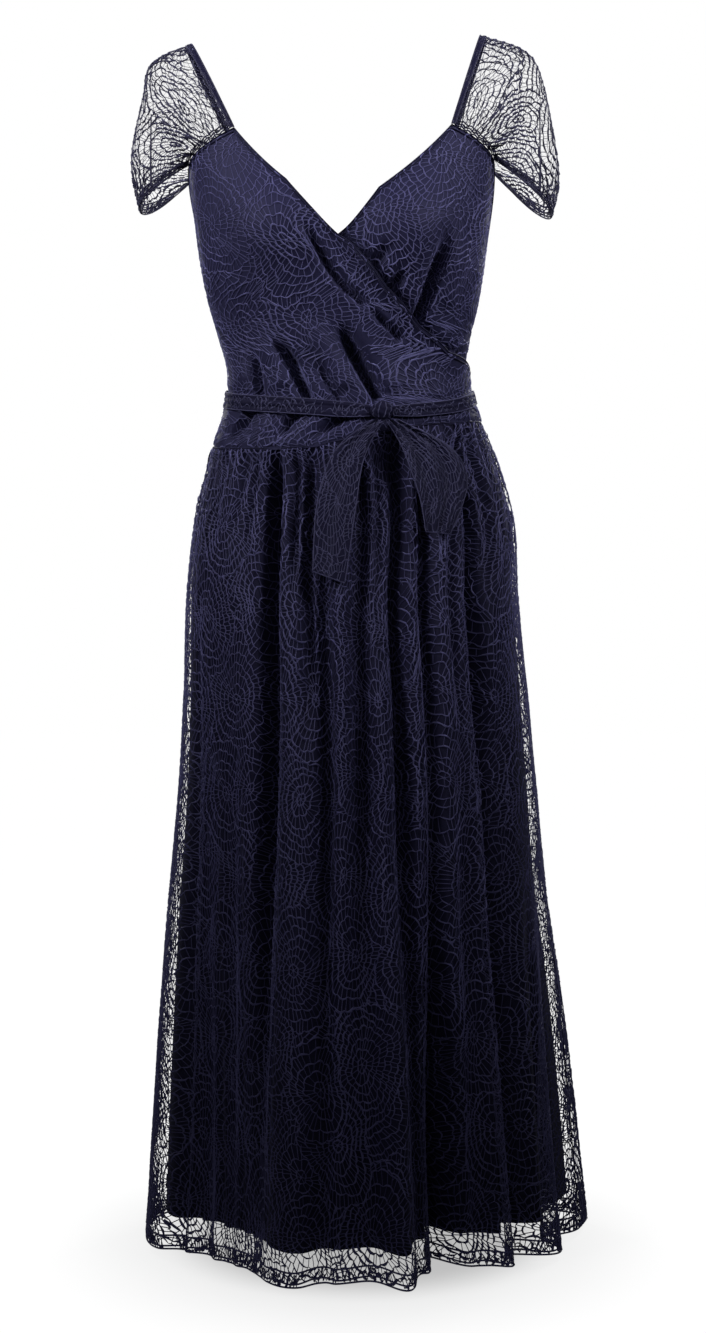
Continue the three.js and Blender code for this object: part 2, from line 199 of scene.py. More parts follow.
def threadFinish(name, dark, light, rough, twist):
    cloth = Finish(name)
    drift = cloth.noise(0.05, 3)
    fibre = cloth.noise(twist, 2)  # the twist of the thread
    return cloth.close({
        "Base Color": cloth.between(0.5 * drift + 0.5 * fibre, dark, light),
        "Roughness": rough + 0.2 * (fibre - 0.5),
        "Sheen Weight": 0.2,
        "Sheen Roughness": 0.35,
        "Sheen Tint": (0.5, 0.5, 0.9, 1),
        "Specular IOR Level": 0.25,
        "Normal": cloth.bump(fibre, 0.5, 0.0004),
    })


def sheerFinish(name, dark, light, cover, net):
    cloth = Finish(name)
    drift = cloth.noise(0.03, 3)
    # the cells of the net, a little bent
    sway = cloth.node("ShaderNodeTexNoise", {}, {"Vector": cloth.place, "Scale": 90, "Detail": 1}, 1)
    bent = cloth.node("ShaderNodeVectorMath", {"operation": "SCALE"}, {0: sway, "Scale": 0.006})
    moved = cloth.node("ShaderNodeVectorMath", {"operation": "ADD"}, {0: cloth.place, 1: bent})
    cells = cloth.node("ShaderNodeMapping", {}, {"Vector": moved, "Scale": (290, 290, 190)})
    edge = cloth.node("ShaderNodeTexVoronoi", {"feature": "DISTANCE_TO_EDGE"}, {
        "Vector": cells, "Scale": 1.0,
    })
    line = cloth.node("ShaderNodeMapRange", {}, {
        "Value": edge, "From Min": 0.05, "From Max": 0.14, "To Min": net, "To Max": cover,
    })
    return cloth.close({
        "Base Color": cloth.between(drift, dark, light),
        "Roughness": 0.8 + 0.1 * (drift - 0.5),
        "Specular IOR Level": 0.2,
        "Alpha": line,
        "Normal": cloth.bump(line, 0.3, 0.0004),
    })


# a soft painted shadow on the glowing white floor: its glow is dimmed by how far it is from the middle of the
# dress
floorPaintedShadow = {
    "middle": (-0.027, 0, 0),
    "scale": (0.97, 0.8, 1),
    "wide": {"From Min": 0.12, "From Max": 0.42, "To Min": 0.77, "To Max": 0.985},
    "deep": {"From Min": 0.15, "From Max": 0.24, "To Min": 0.26, "To Max": 0.0},
}


def floorFinish():
    ground = Finish("pale floor")
    lit = ground.noise(0.4, 2)
    centred = ground.node("ShaderNodeMapping", {}, {
        "Vector": ground.place, "Location": floorPaintedShadow["middle"], "Scale": floorPaintedShadow["scale"],
    })
    far = ground.node("ShaderNodeVectorMath", {"operation": "LENGTH"}, {0: centred}, 1)
    smooth = {"interpolation_type": "SMOOTHSTEP"}
    # wide is a broad painted shadow round the dress, deep a darker painted shadow right under it
    wide = ground.node("ShaderNodeMapRange", smooth, {"Value": far, **floorPaintedShadow["wide"]})
    deep = ground.node("ShaderNodeMapRange", smooth, {"Value": far, **floorPaintedShadow["deep"]})
    return ground.close({
        "Base Color": (0.2, 0.2, 0.2, 1),
        "Roughness": 0.9 + 0.02 * lit,
        "Specular IOR Level": 0.0,
        # the floor's glow, less the painted shadow round and under the dress
        "Emission Color": ground.between(wide - deep, (0, 0, 0), (1, 1, 1)),
        "Emission Strength": 1.0,
    })


def lightRoom():
    room = bpy.data.worlds.new("studio")
    bpy.context.scene.world = room
    room.use_nodes = True
    nodes = room.node_tree.nodes
    links = room.node_tree.links
    nodes.clear()
    seen = nodes.new("ShaderNodeBackground")
    seen.inputs["Color"].default_value = (1, 1, 1, 1)
    seen.inputs["Strength"].default_value = 1.0
    soft = nodes.new("ShaderNodeBackground")
    soft.inputs["Color"].default_value = (0.95, 0.97, 1, 1)
    soft.inputs["Strength"].default_value = studio["softLight"]
    ray = nodes.new("ShaderNodeLightPath")
    mix = nodes.new("ShaderNodeMixShader")
    out = nodes.new("ShaderNodeOutputWorld")
    links.new(ray.outputs["Is Camera Ray"], mix.inputs[0])
    links.new(soft.outputs[0], mix.inputs[1])
    links.new(seen.outputs[0], mix.inputs[2])
    links.new(mix.outputs[0], out.inputs["Surface"])


# rings of the body under the cloth: half widths and depths, and how square each ring is
bodyRings = {
    "down": (90, 170, 230, 312, 360, 405, 456, 504, 576, 672, 792, 912, 1032, 1152, 1272, 1425),
    "centre": (7, 5.5, 6, 7, 8, 11, 14, 15, 17, 15, 19, 21, 21, 24, 26, 29),
    "half": (184, 182, 173, 161, 149, 141, 151, 169, 187, 194.5, 202, 211, 222, 234, 244, 256),
    "front": (80, 103, 112, 108, 101, 97, 102, 111, 124, 142, 160, 178, 195, 212, 226, 240),
    "back": (86, 100, 104, 98, 93, 92, 104, 118, 134, 148, 160, 174, 188, 202, 214, 228),
    "square": (2.5, 2.5, 2.5, 2.5, 2.4, 2.25, 2.2, 2.1, 2.05, 2, 2, 2, 2, 2, 2, 2),
}
bust = {"side": 76, "down": 243, "reach": 27, "width": 60, "height": 58, "middle": 7, "fade": 3}
waistSeam = {
    "turn": (0, 0.2, 0.42, 0.57, 0.75, 1, 2),
    "down": (488, 497, 498, 480, 468, 462, 488),
}
tieLine = {
    "turn": (0, 0.2, 0.4, 0.57, 0.75, 1, 1.5, 2),
    "down": (430, 443, 452, 458, 450, 429, 424, 430),
}
# how far each layer lies off the body
lift = {"over": 7.6, "under": 1.2, "atLeftSeam": 6.4, "ramp": 0.15, "lining": 1.1}


def smoothAt(table, by, key, at):
    xs = np.array(table[by], float)
    ys = np.array(table[key], float)
    last = len(xs) - 1
    i = np.clip(np.searchsorted(xs, at), 1, last)
    before = np.maximum(np.arange(last + 1) - 1, 0)
    after = np.minimum(np.arange(last + 1) + 1, last)
    slope = (ys[after] - ys[before]) / (xs[after] - xs[before])
    span = xs[i] - xs[i - 1]
    s = np.clip((at - xs[i - 1]) / span, 0, 1)
    blend = s * s * (3 - 2 * s)
    bend = slope[i - 1] * s * (1 - s) ** 2 - slope[i] * s * s * (1 - s)
    return ys[i - 1] * (1 - blend) + ys[i] * blend + span * bend


def straightAt(table, by, key, at):
    return np.interp(at, table[by], table[key])


def ease(x):
    x = np.clip(x, 0, 1)
    return x * x * (3 - 2 * x)


def bustReach(x, down):
    side = (np.abs(x - bust["middle"]) - bust["side"]) / bust["width"]
    height = (down - bust["down"]) / bust["height"]
    return bust["reach"] * np.exp(-side * side - height * height)


def onBody(turn, down, out):
    turn, down = np.broadcast_arrays(np.asarray(turn, float), np.asarray(down, float))
    cos = np.cos(np.pi * turn)
    sin = np.sin(np.pi * turn)
    square = smoothAt(bodyRings, "down", "square", down)
    across = np.sign(cos) * np.abs(cos) ** (2 / square)
    deep = np.sign(sin) * np.abs(sin) ** (2 / square)
    half = smoothAt(bodyRings, "down", "half", down)
    front = smoothAt(bodyRings, "down", "front", down)
    depth = np.where(sin >= 0, front, smoothAt(bodyRings, "down", "back", down))
    x = smoothAt(bodyRings, "down", "centre", down) - half * across
    y = -depth * deep
    reach = out + np.where(sin > 0, bustReach(x, down) * np.minimum(1, bust["fade"] * sin), 0)
    nx = -np.sign(across) * np.abs(across) ** (square - 1) / half
    ny = -np.sign(deep) * np.abs(deep) ** (square - 1) / depth
    long = np.hypot(nx, ny)
    return np.stack([x + nx / long * reach, y + ny / long * reach, -down], -1)


def turnAt(x, down):
    half = smoothAt(bodyRings, "down", "half", down)
    side = (smoothAt(bodyRings, "down", "centre", down) - x) / half
    square = smoothAt(bodyRings, "down", "square", down)
    return np.arccos(np.sign(side) * np.abs(side) ** (square / 2)) / np.pi


def overOut(turn):
    up = (lift["over"] - lift["under"]) * ease(turn / lift["ramp"])
    drop = (lift["over"] - lift["atLeftSeam"]) * ease((turn - 1 + lift["ramp"]) / lift["ramp"])
    return lift["under"] + up - drop


def skirtOut(turn):
    behind = lift["atLeftSeam"] + (lift["under"] - lift["atLeftSeam"]) * ease((turn - 1) / lift["ramp"])
    return np.where(turn <= 1, overOut(turn), behind)


nudge = {"across": 1e-4, "along": 1e-2}


def outward(surface, a, b, sense):
    acrossWay = surface(a + nudge["across"], b) - surface(a - nudge["across"], b)
    alongWay = surface(a, b + nudge["along"]) - surface(a, b - nudge["along"])
    normal = np.cross(alongWay, acrossWay) * sense
    return normal / np.maximum(np.linalg.norm(normal, axis=-1, keepdims=True), 1e-12)


def makeMesh(name, points, faces, finish, flat=None):
    mesh = bpy.data.meshes.new(name)
    mesh.from_pydata((np.asarray(points) * mm).tolist(), [], faces)
    mesh.shade_smooth()
    if flat is not None:
        layer = mesh.uv_layers.new(name="OFBake")
        corners = np.empty(len(mesh.loops), np.int32)
        mesh.loops.foreach_get("vertex_index", corners)
        layer.data.foreach_set("uv", flat[corners].astype(np.float32).ravel())
    piece = bpy.data.objects.new(name, mesh)
    bpy.context.collection.objects.link(piece)
    mesh.materials.append(finish)
    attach(piece, "root")
    return piece


def unitFlat(flat):
    margin = 0.004
    low = flat.min(axis=0)
    return margin + (1 - 2 * margin) * (flat - low) / (flat.max(axis=0) - low)


def gridFaces(columns, rows, sense):
    index = np.arange(columns * rows).reshape(rows, columns)
    corners = [index[:-1, :-1], index[1:, :-1], index[1:, 1:], index[:-1, 1:]]
    faces = np.stack([c.ravel() for c in corners], -1)
    return (faces if sense > 0 else faces[:, ::-1]).tolist()


def gridSheet(name, surface, across, along, sense, finish):
    a, b = np.meshgrid(across, along)
    points = surface(a, b)
    flat = np.stack([a.ravel(), -b.ravel()], -1)
    faces = gridFaces(len(across), len(along), sense)
    return makeMesh(name, points.reshape(-1, 3), faces, finish, unitFlat(flat))


def closeSeams(piece):
    shape = bmesh.new()
    shape.from_mesh(piece.data)
    bmesh.ops.remove_doubles(shape, verts=shape.verts, dist=1e-6)
    shape.to_mesh(piece.data)
    shape.free()


def tube(name, centre, normal, linked, profile, finish, flat, capped=True):
    # linked[k] says that point k runs on to point k + 1; profile is (to the side, out).
    before = np.concatenate([[False], linked[:-1]])
    used = linked | before
    ahead = np.roll(centre, -1, axis=0) - centre
    behind = centre - np.roll(centre, 1, axis=0)
    way = ahead * linked[:, None] + behind * before[:, None]
    way = way / np.maximum(np.linalg.norm(way, axis=1, keepdims=True), 1e-9)
    side = np.cross(way, normal)
    side = side / np.maximum(np.linalg.norm(side, axis=1, keepdims=True), 1e-9)
    flatAhead = np.roll(flat, -1, axis=0) - flat
    flatBehind = flat - np.roll(flat, 1, axis=0)
    flatWay = flatAhead * linked[:, None] + flatBehind * before[:, None]
    flatWay = flatWay / np.maximum(np.linalg.norm(flatWay, axis=1, keepdims=True), 1e-9)
    flatSide = np.stack([flatWay[:, 1], -flatWay[:, 0]], -1)
    profile = np.asarray(profile, float)
    if profile.ndim == 2:
        profile = np.broadcast_to(profile, (len(centre), *profile.shape))
    reach = profile[:, :, :1] * side[:, None] + profile[:, :, 1:] * normal[:, None]
    points = centre[:, None] + reach
    spread = flat[:, None] + profile[:, :, :1] * flatSide[:, None]
    number = np.cumsum(used) - 1
    sides = profile.shape[1]
    base = number[linked] * sides
    quads = []
    for k in range(sides):
        near = (k + 1) % sides
        quads.append(np.stack([base + k, base + sides + k, base + sides + near, base + near], -1))
    faces = np.concatenate(quads).tolist()
    if capped:
        starts = number[linked & ~before] * sides
        ends = number[before & ~linked] * sides
        faces += (starts[:, None] + np.arange(sides)).tolist()
        faces += (ends[:, None] + np.arange(sides)[::-1]).tolist()
    points = points[used].reshape(-1, 3)
    return makeMesh(name, points, faces, finish, unitFlat(spread[used].reshape(-1, 2)))


def edgeRolls(name, runs, radius, finish):
    # each run is a surface, the places along it, its outward sense and how proud it lies
    centre = []
    normal = []
    linked = []
    flat = []
    apart = 8.0 * radius  # between the rolls when laid flat
    for k, (surface, a, b, sense, proud) in enumerate(runs):
        a, b = np.broadcast_arrays(np.asarray(a, float), np.asarray(b, float))
        out = outward(surface, a, b, sense)
        points = surface(a, b) + out * proud
        steps = np.linalg.norm(np.diff(points, axis=0), axis=1)
        centre.append(points)
        normal.append(out)
        linked.append(np.append(np.ones(len(a) - 1, bool), False))
        long = np.concatenate([[0], np.cumsum(steps)])
        flat.append(np.stack([long, np.full(len(a), k * apart)], -1))
    angle = np.arange(4) * np.pi / 2  # a square roll, shaded smooth
    profile = radius * np.stack([np.cos(angle), np.sin(angle)], -1)
    parts = [np.concatenate(part) for part in (centre, normal, linked, flat)]
    return tube(name, parts[0], parts[1], parts[2], profile, finish, parts[3])


# lace: rosettes of scalloped cords with fine rungs between
lace = {
    "across": 84,
    "along": 100,
    "jitter": 14,
    "reach": (0.5, 0.82),
    "fill": 1.0,
    "oval": (0.06, 0.24),
    "lean": 0.45,
    "lobe": 0.05,
    "spare": 3,
    "shift": (0.75, 0.6),
    "clear": 0.8,
    "core": 1.2,
    "dot": 0.9,
    "first": 7,
    "ring": 9.8,
    "ringSpread": (0.8, 1.2),
    "wave": 13.1,
    "waveDeep": 1.6,
    "fewest": 6,
    "swell": (0.5, 0.75),
    "rough": (0.85, 0.3),
    "rung": 5.1,
    "rungSpread": 0.18,
    "rungLean": 0.4,
    "cordWide": 1.55,
    "cordTall": 1.0,
    "rungWide": 0.75,
    "rungTall": 0.4,
    "sunk": 0.35,
}
# broad and fine waves that bend the whole pattern, across the cloth and down it
ripples = {
    "sway": 3.2,
    "fine": 0.45,
    "across": {"long": 14.0, "from": 1.3, "bend": 0.8, "bendLong": 17.0, "fineLong": 8.1, "fineFrom": 2},
    "down": {"long": 13.0, "from": 0.4, "bend": 0.9, "bendLong": 19.0, "fineLong": 7.3, "fineFrom": 5},
}


def unroll(surface, aSpan, bSpan, cells, middle, evenWide=None, gathered=1.0):
    # gathered is the share of its cut width that the cloth is drawn in to
    a = np.linspace(*aSpan, cells[0])
    b = np.linspace(*bSpan, cells[1])
    grid = surface(*np.meshgrid(a, b))
    steps = np.linalg.norm(np.diff(grid, axis=1), axis=2)
    u = np.concatenate([np.zeros((len(b), 1)), np.cumsum(steps, axis=1)], axis=1)
    if evenWide is not None:
        u = np.tile((a - a[0]) / (a[-1] - a[0]) * evenWide, (len(b), 1))
    u = (u - u[:, [int(np.searchsorted(a, middle))]]) / gathered
    drops = np.linalg.norm(np.diff(grid, axis=0), axis=2).mean(axis=1)
    v = np.concatenate([[0], np.cumsum(drops)])
    uAxis = np.linspace(u.min(), u.max(), 600)
    back = np.stack([np.interp(uAxis, row, a, left=-9, right=9) for row in u])  # 9 is off the cloth
    return {"u": uAxis, "v": v, "b": b, "back": back, "aSpan": aSpan}


def rollBack(spread, flat):
    # from a place on the flat cloth to its place on the surface
    rows = np.interp(flat[:, 1], spread["v"], np.arange(len(spread["v"])))
    u = spread["u"]
    columns = (flat[:, 0] - u[0]) / (u[1] - u[0])
    j = np.clip(rows.astype(int), 0, len(spread["v"]) - 2)
    i = np.clip(columns.astype(int), 0, len(u) - 2)
    s = np.clip(columns - i, 0, 1)
    t = rows - j
    back = spread["back"]
    upper = back[j, i] * (1 - s) + back[j, i + 1] * s
    lower = back[j + 1, i] * (1 - s) + back[j + 1, i + 1] * s
    a = upper * (1 - t) + lower * t
    b = np.interp(rows, np.arange(len(spread["b"])), spread["b"])
    low, high = spread["aSpan"]
    fits = (a >= low) & (a <= high) & (flat[:, 0] >= u[0]) & (flat[:, 0] <= u[-1])
    return np.clip(a, low, high), b, fits & (flat[:, 1] >= 0) & (flat[:, 1] <= spread["v"][-1])


def swayOf(wave, along, across, slant):
    bend = wave["bend"] * np.sin(across / wave["bendLong"])
    fine = np.sin(slant / wave["fineLong"] + wave["fineFrom"])
    return np.sin(along / wave["long"] + wave["from"] + bend) + ripples["fine"] * fine


def ripple(flat):
    u, v = flat[:, 0], flat[:, 1]
    du = swayOf(ripples["across"], v, u, u + v)
    dv = swayOf(ripples["down"], u, v, u - v)
    return flat + ripples["sway"] * np.stack([du, dv], -1)


def layRosettes(uSpan, vSpan, dice):
    columns = int((uSpan[1] - uSpan[0]) / lace["across"]) + lace["spare"]
    rows = int((vSpan[1] - vSpan[0]) / lace["along"]) + lace["spare"]
    left, up = lace["shift"]
    rosettes = []
    fillers = []
    for j in range(rows):
        for i in range(columns):
            u = uSpan[0] + (i - left + 0.5 * (j % 2)) * lace["across"]
            v = vSpan[0] + (j - up) * lace["along"]
            rosettes.append({
                "at": np.array([u, v]) + dice.normal(0, lace["jitter"], 2),
                "oval": dice.uniform(*lace["oval"]),
                "lean": math.pi / 2 + dice.uniform(-1, 1) * lace["lean"],
                "lobes": dice.uniform(0, 2 * math.pi),
            })
            fillers.append({
                "at": np.array([u + lace["across"] / 2, v + lace["along"] / 3]),
                "oval": 0.03,
                "lean": 0.0,
                "lobes": dice.uniform(0, 2 * math.pi),
                "reach": lace["across"] * lace["fill"],
            })
    dice.shuffle(rosettes)
    for k, rosette in enumerate(rosettes):
        low, high = lace["reach"]
        rosette["reach"] = lace["across"] * (low + (high - low) * k / len(rosettes))
    return rosettes + fillers


def roundness(rosette, angle):
    oval = rosette["oval"] * np.cos(2 * (angle - rosette["lean"]))
    return 1 + oval + lace["lobe"] * np.cos(3 * angle + rosette["lobes"])


def covered(flat, above):
    hidden = np.zeros(len(flat), bool)
    for other in above:
        off = flat - other["at"]
        near = np.hypot(off[:, 0], off[:, 1])
        angle = np.arctan2(off[:, 1], off[:, 0])
        hidden |= near < other["reach"] * roundness(other, angle) - lace["clear"]
    return hidden


def drawLace(rosettes, dice):
    # an earlier rosette lies over a later one, which shows only outside it
    cords = []
    rungs = []
    for k, rosette in enumerate(rosettes):
        above = []
        for other in rosettes[:k]:
            apart = np.linalg.norm(other["at"] - rosette["at"])
            if apart < 1.3 * (other["reach"] + rosette["reach"]):
                above.append(other)
        count = max(2, round((rosette["reach"] - lace["first"]) / lace["ring"]))
        steps = np.concatenate([[0], np.cumsum(dice.uniform(*lace["ringSpread"], count))])
        radii = lace["first"] + (rosette["reach"] - lace["first"]) * steps / steps[-1]
        phase = dice.uniform(0, 2 * math.pi, count + 1)

        def wavesOf(k):
            return max(lace["fewest"], round(2 * math.pi * radii[k] / lace["wave"]))

        def ringAt(k, angle):
            waves = wavesOf(k)
            deep = lace["waveDeep"] * min(1, radii[k] / 16)
            wave = deep * (1.6 * np.abs(np.sin(waves * angle / 2 + phase[k])) - 1)
            far = radii[k] * roundness(rosette, angle) + wave
            way = np.stack([np.cos(angle), np.sin(angle)], -1)
            return rosette["at"] + far[:, None] * way

        for k in range(count + 1):
            waves = wavesOf(k)
            corners = np.arange(4 * waves + 1)  # four points to a scallop
            ring = ringAt(k, 2 * (corners * math.pi / (4 * waves)) - 2 * phase[k] / waves)
            swell = lace["swell"][0] + lace["swell"][1] * np.abs(np.sin(corners * math.pi / 4))
            cords.append((ring, ~covered(ring, above), swell))
            inner = radii[k - 1] if k else lace["core"]
            many = max(lace["fewest"], round(math.pi * (radii[k] + inner) / lace["rung"]))
            uneven = dice.uniform(-lace["rungSpread"], lace["rungSpread"], many)
            angle = (np.arange(many) + uneven) * 2 * math.pi / many + dice.uniform(0, 6)
            outer = ringAt(k, angle + dice.normal(0, lace["rungLean"], many) / radii[k])
            if k:
                start = ringAt(k - 1, angle)
            else:
                start = rosette["at"] + lace["core"] * np.stack([np.cos(angle), np.sin(angle)], -1)
            seen = ~covered((start + outer) / 2, above)
            rungs.append((start[seen], outer[seen]))
        dot = np.arange(7) * math.pi / 3
        small = rosette["at"] + lace["dot"] * np.stack([np.cos(dot), np.sin(dot)], -1)
        cords.append((small, ~covered(small, above), np.ones(7)))
    return cords, rungs


def relief(flat):
    # the cords swell and thin slowly over the cloth
    u, v = flat[:, 0], flat[:, 1]
    return 0.95 + 0.3 * np.sin(u / 31 + 2 * np.sin(v / 57)) * np.sin(v / 43 + 1.2)


def triangle(wide, tall):
    foot = -lace["sunk"] * tall
    return np.array([(wide / 2, foot), (0, foot + tall), (-wide / 2, foot)])


def everywhere(a, b):
    return np.ones(len(a), bool)


def evenly(a, b):
    return np.ones(len(a))


def weaveLace(
    name, surface, spread, finishes, seed,
    inside=everywhere, weight=evenly, scale=(1, 1), proud=0.0, sense=1,
):
    dice = np.random.default_rng(seed)
    vSpan = (0, spread["v"][-1])
    rosettes = layRosettes((spread["u"][0], spread["u"][-1]), vSpan, dice)
    cords, rungs = drawLace(rosettes, dice)
    flat = ripple(np.concatenate([ring for ring, seen, swell in cords]))
    linked = np.concatenate([np.append(seen[:-1] & seen[1:], False) for ring, seen, swell in cords])
    swell = np.concatenate([swell for ring, seen, swell in cords])
    a, b, fits = rollBack(spread, flat)
    fits &= inside(a, b)
    linked &= fits & np.roll(fits, -1)
    rough = lace["rough"][0] + lace["rough"][1] * dice.random(len(flat))
    thick = scale[0] * swell * relief(flat) * weight(a, b) * rough
    profile = triangle(lace["cordWide"], lace["cordTall"])[None] * thick[:, None, None]
    keep = linked | np.concatenate([[False], linked[:-1]])
    points, normals = surface(a[keep], b[keep]), outward(surface, a[keep], b[keep], sense)
    points = points + proud * normals
    cord = tube(
        name + "_cords", points, normals, linked[keep], profile[keep], finishes[0], flat[keep],
    )
    start = ripple(np.concatenate([first for first, second in rungs]))
    end = ripple(np.concatenate([second for first, second in rungs]))
    aStart, bStart, fitsStart = rollBack(spread, start)
    aEnd, bEnd, fitsEnd = rollBack(spread, end)
    both = fitsStart & fitsEnd & inside(aStart, bStart) & inside(aEnd, bEnd)
    flat = np.stack([start[both], end[both]], 1).reshape(-1, 2)
    a = np.stack([aStart[both], aEnd[both]], 1).ravel()
    b = np.stack([bStart[both], bEnd[both]], 1).ravel()
    thick = scale[1] * weight(a, b)
    profile = triangle(lace["rungWide"], lace["rungTall"])[None] * thick[:, None, None]
    linked = np.arange(len(a)) % 2 == 0
    points, normals = surface(a, b), outward(surface, a, b, sense)
    points = points + proud * normals
    rung = tube(name + "_rungs", points, normals, linked, profile, finishes[1], flat, False)
    print(name, "lace:", len(cord.data.polygons), "cord faces,", len(rung.data.polygons), "rung faces")
    return [cord, rung]


skirt = {
    "hem": 1425,
    "liningHem": 1392,
    "gap": 0.3,
    "liningTop": 1.5,
    "liningRise": 2.5,
    "liningLow": 12,
    "liningSides": 10,
    "turnUp": 16,
    "turnUpBehind": 1.3,
    "turnUpTall": 20,
    "gathered": (0.7, 0.88),
    "turnUpGathered": 0.45,
    "sideWeight": 0.5,
    "sideReach": 0.3,
    "hemWeight": 0.45,
    "hemWeightRamp": 20,
    "hemWeightDown": 1375,
    "columns": (230, 150),
    "rows": 70,
    "crowding": 0.85,
}
# rolled edges at the hem: how far up, how much they sway and how proud they lie
hemRolls = {"up": (0, 16, 4.4), "sway": (0, 0.72, 1.2), "proud": (-0.4, -0.2, -0.8)}
# every fold runs from one turn at its start down to another at its end; in where negative
folds = {
    "turn": (.336, .431, .6, .645, .8, .8, .2, .3, .4, .515, .552, .63, .705, .775, .91,
             1.07, 1.19, 1.29, 1.38, 1.49, 1.6, 1.69, 1.8),
    "endTurn": (.35, .45, .562, .615, .74, .775, .215, .315, .415, .507, .552, .65, .71, .785, .925,
                1.075, 1.18, 1.28, 1.4, 1.5, 1.59, 1.7, 1.81),
    "width": (.024, .022, .02, .024, .026, .032, .055, .035, .04, .03, .022, .038, .026, .035, .048,
              .045, .05, .045, .05, .04, .052, .042, .05),
    "reach": (-13, -10, -17, -11, -15, -14, -42, -28, 26, -12, 33, -86, -8, -48, -45,
              20, -34, 21, -36, 25, -33, 22, -36),
    "start": (470, 470, 450, 470, 450, 720, 700, 800, 650, 700, 900, 850, 850, 900, 900,
              650, 620, 560, 600, 540, 600, 560, 620),
    "end": (1250, 1150, 1150, 1100, 900, 1300, 1900, 1900, 1900, 1900, 1700, 1800, 1800, 1800, 1800,
            1900, 1900, 1900, 1900, 1900, 1900, 1900, 1900),
    "growth": (.15, .15, .15, .2, .2, .3, .6, .55, .6, .5, .6, .6, .6, .6, .6,
               .6, .6, .6, .6, .6, .6, .6, .6),
}


def trough(table, turn, down, fade, crisp=2):
    reach = np.zeros(np.broadcast(turn, down).shape)
    keys = ("turn", "endTurn", "width", "reach", "start", "end", "growth")
    for first, last, width, deep, start, end, growth in zip(*[table[key] for key in keys]):
        s = (down - start) / (end - start)
        apart = turn - (first + (last - first) * s)
        away = np.abs(apart - 2 * np.round(apart / 2)) / width
        inside = (s > 0) & (s < 1)
        reach = reach + inside * deep * ease(s / growth) * ease((1 - s) / fade) * np.exp(-away ** crisp)
    return reach


# small gathers along the waist seam
gathers = {
    "seed": 5,
    "apart": 0.028,
    "jitter": 0.4,
    "lean": 0.02,
    "towards": 0.56,
    "deep": (4, 9),
    "wide": (0.007, 0.012),
    "long": (40, 240),
    "build": 12,
}


def makeGathers():
    dice = np.random.default_rng(gathers["seed"])
    turns = np.arange(0.01, 1.99, gathers["apart"])
    many = len(turns)
    turns = turns + dice.uniform(-gathers["jitter"], gathers["jitter"], many) * gathers["apart"]
    start = smoothAt(waistSeam, "turn", "down", turns)
    wide = dice.uniform(*gathers["wide"], many)
    deep = dice.uniform(*gathers["deep"], many)
    long = dice.uniform(*gathers["long"], many)
    return {
        "turn": turns,
        "endTurn": turns - (gathers["towards"] - turns) * np.where(turns < 1, gathers["lean"], 0),
        "width": wide,
        "reach": -deep,
        "start": start,
        "end": start + long,
        "growth": np.minimum(gathers["build"] / long, 0.3),
    }


gatherTable = makeGathers()
# deep narrow tucks that fall from the waist seam
tucks = {
    "turn": (.158, .262, .288, .338, .388, .416, .452, .516, .548, .592, .618, .650, .700, .760, .830,
             .262, .700, .556, 1.08, 1.16, 1.24, 1.33, 1.41, 1.47, 1.54, 1.61, 1.69, 1.77, 1.86, 1.93),
    "endTurn": (.150, .245, .284, .350, .392, .420, .440, .510, .552, .580, .600, .640, .700, .765, .800,
                .270, .705, .556, 1.09, 1.165, 1.24, 1.335, 1.405, 1.48, 1.54, 1.6, 1.685, 1.775, 1.85, 1.93),
    "width": (.014, .010, .009, .018, .012, .013, .015, .021, .006, .016, .009, .014, .010, .022, .012,
              .022, .022, .018, .016, .010, .018, .012, .016, .010, .018, .012, .016, .010, .016, .012),
    "reach": (-16, -9, -8, -28, -17, -22, -22, -29, -6, -30, -9, -22, -10, -28, -10,
              -17, -20, -20, -18, -9, -20, -12, -19, -10, -21, -11, -18, -10, -19, -12),
    "start": (620, 497, 497, 497, 497, 497, 560, 490, 480, 479, 479, 480, 560, 462, 466,
              760, 740, 480, 462, 462, 464, 468, 470, 472, 475, 477, 480, 482, 484, 486),
    "end": (1900, 620, 640, 1560, 700, 900, 1750, 1250, 700, 1900, 700, 1750, 900, 1500, 700,
            1900, 1900, 860, 1300, 760, 1500, 700, 1250, 820, 1450, 760, 1350, 740, 1500, 900),
    "growth": (.3, .2, .2, .05, .15, .1, .08, .08, .15, .04, .1, .07, .2, .07, .15,
               .3, .3, .1, .06, .1, .06, .1, .06, .1, .06, .1, .06, .1, .06, .1),
}
# the waist seam draws in, and the cloth puffs out below it
seamRoll = {"deep": 2.4, "wide": 3.2, "puff": 1.6, "puffDown": 12, "puffWide": 8}


def seamReach(turn, down):
    below = down - smoothAt(waistSeam, "turn", "down", turn)
    groove = seamRoll["deep"] * np.exp(-(below / seamRoll["wide"]) ** 2)
    puff = seamRoll["puff"] * np.exp(-((below - seamRoll["puffDown"]) / seamRoll["puffWide"]) ** 2)
    return puff - groove


def skirtForm(turn, down):
    return onBody(turn, down, skirtOut(turn))


def foldReach(turn, down):
    small = trough(gatherTable, turn, down, 0.8) + trough(tucks, turn, down, 0.5, 3)
    return trough(folds, turn, down, 0.35) + small + seamReach(turn, down)


def skirtLace(turn, down):
    return onBody(turn, down, skirtOut(turn) + foldReach(turn, down))


def skirtRow(turn, share, hem, rise=0.0):
    high = smoothAt(waistSeam, "turn", "down", turn) + skirt["gap"] - rise
    return high + (hem - high) * share


def liningAt(turn, share):
    sides = skirt["liningSides"] * np.cos(np.pi * turn) ** 2
    clear = skirt["liningTop"] + (skirt["liningLow"] - skirt["liningTop"] + sides) * share
    down = skirtRow(turn, share, skirt["liningHem"], skirt["liningRise"])
    return onBody(turn, down, skirtOut(turn) + foldReach(turn, down) - clear)


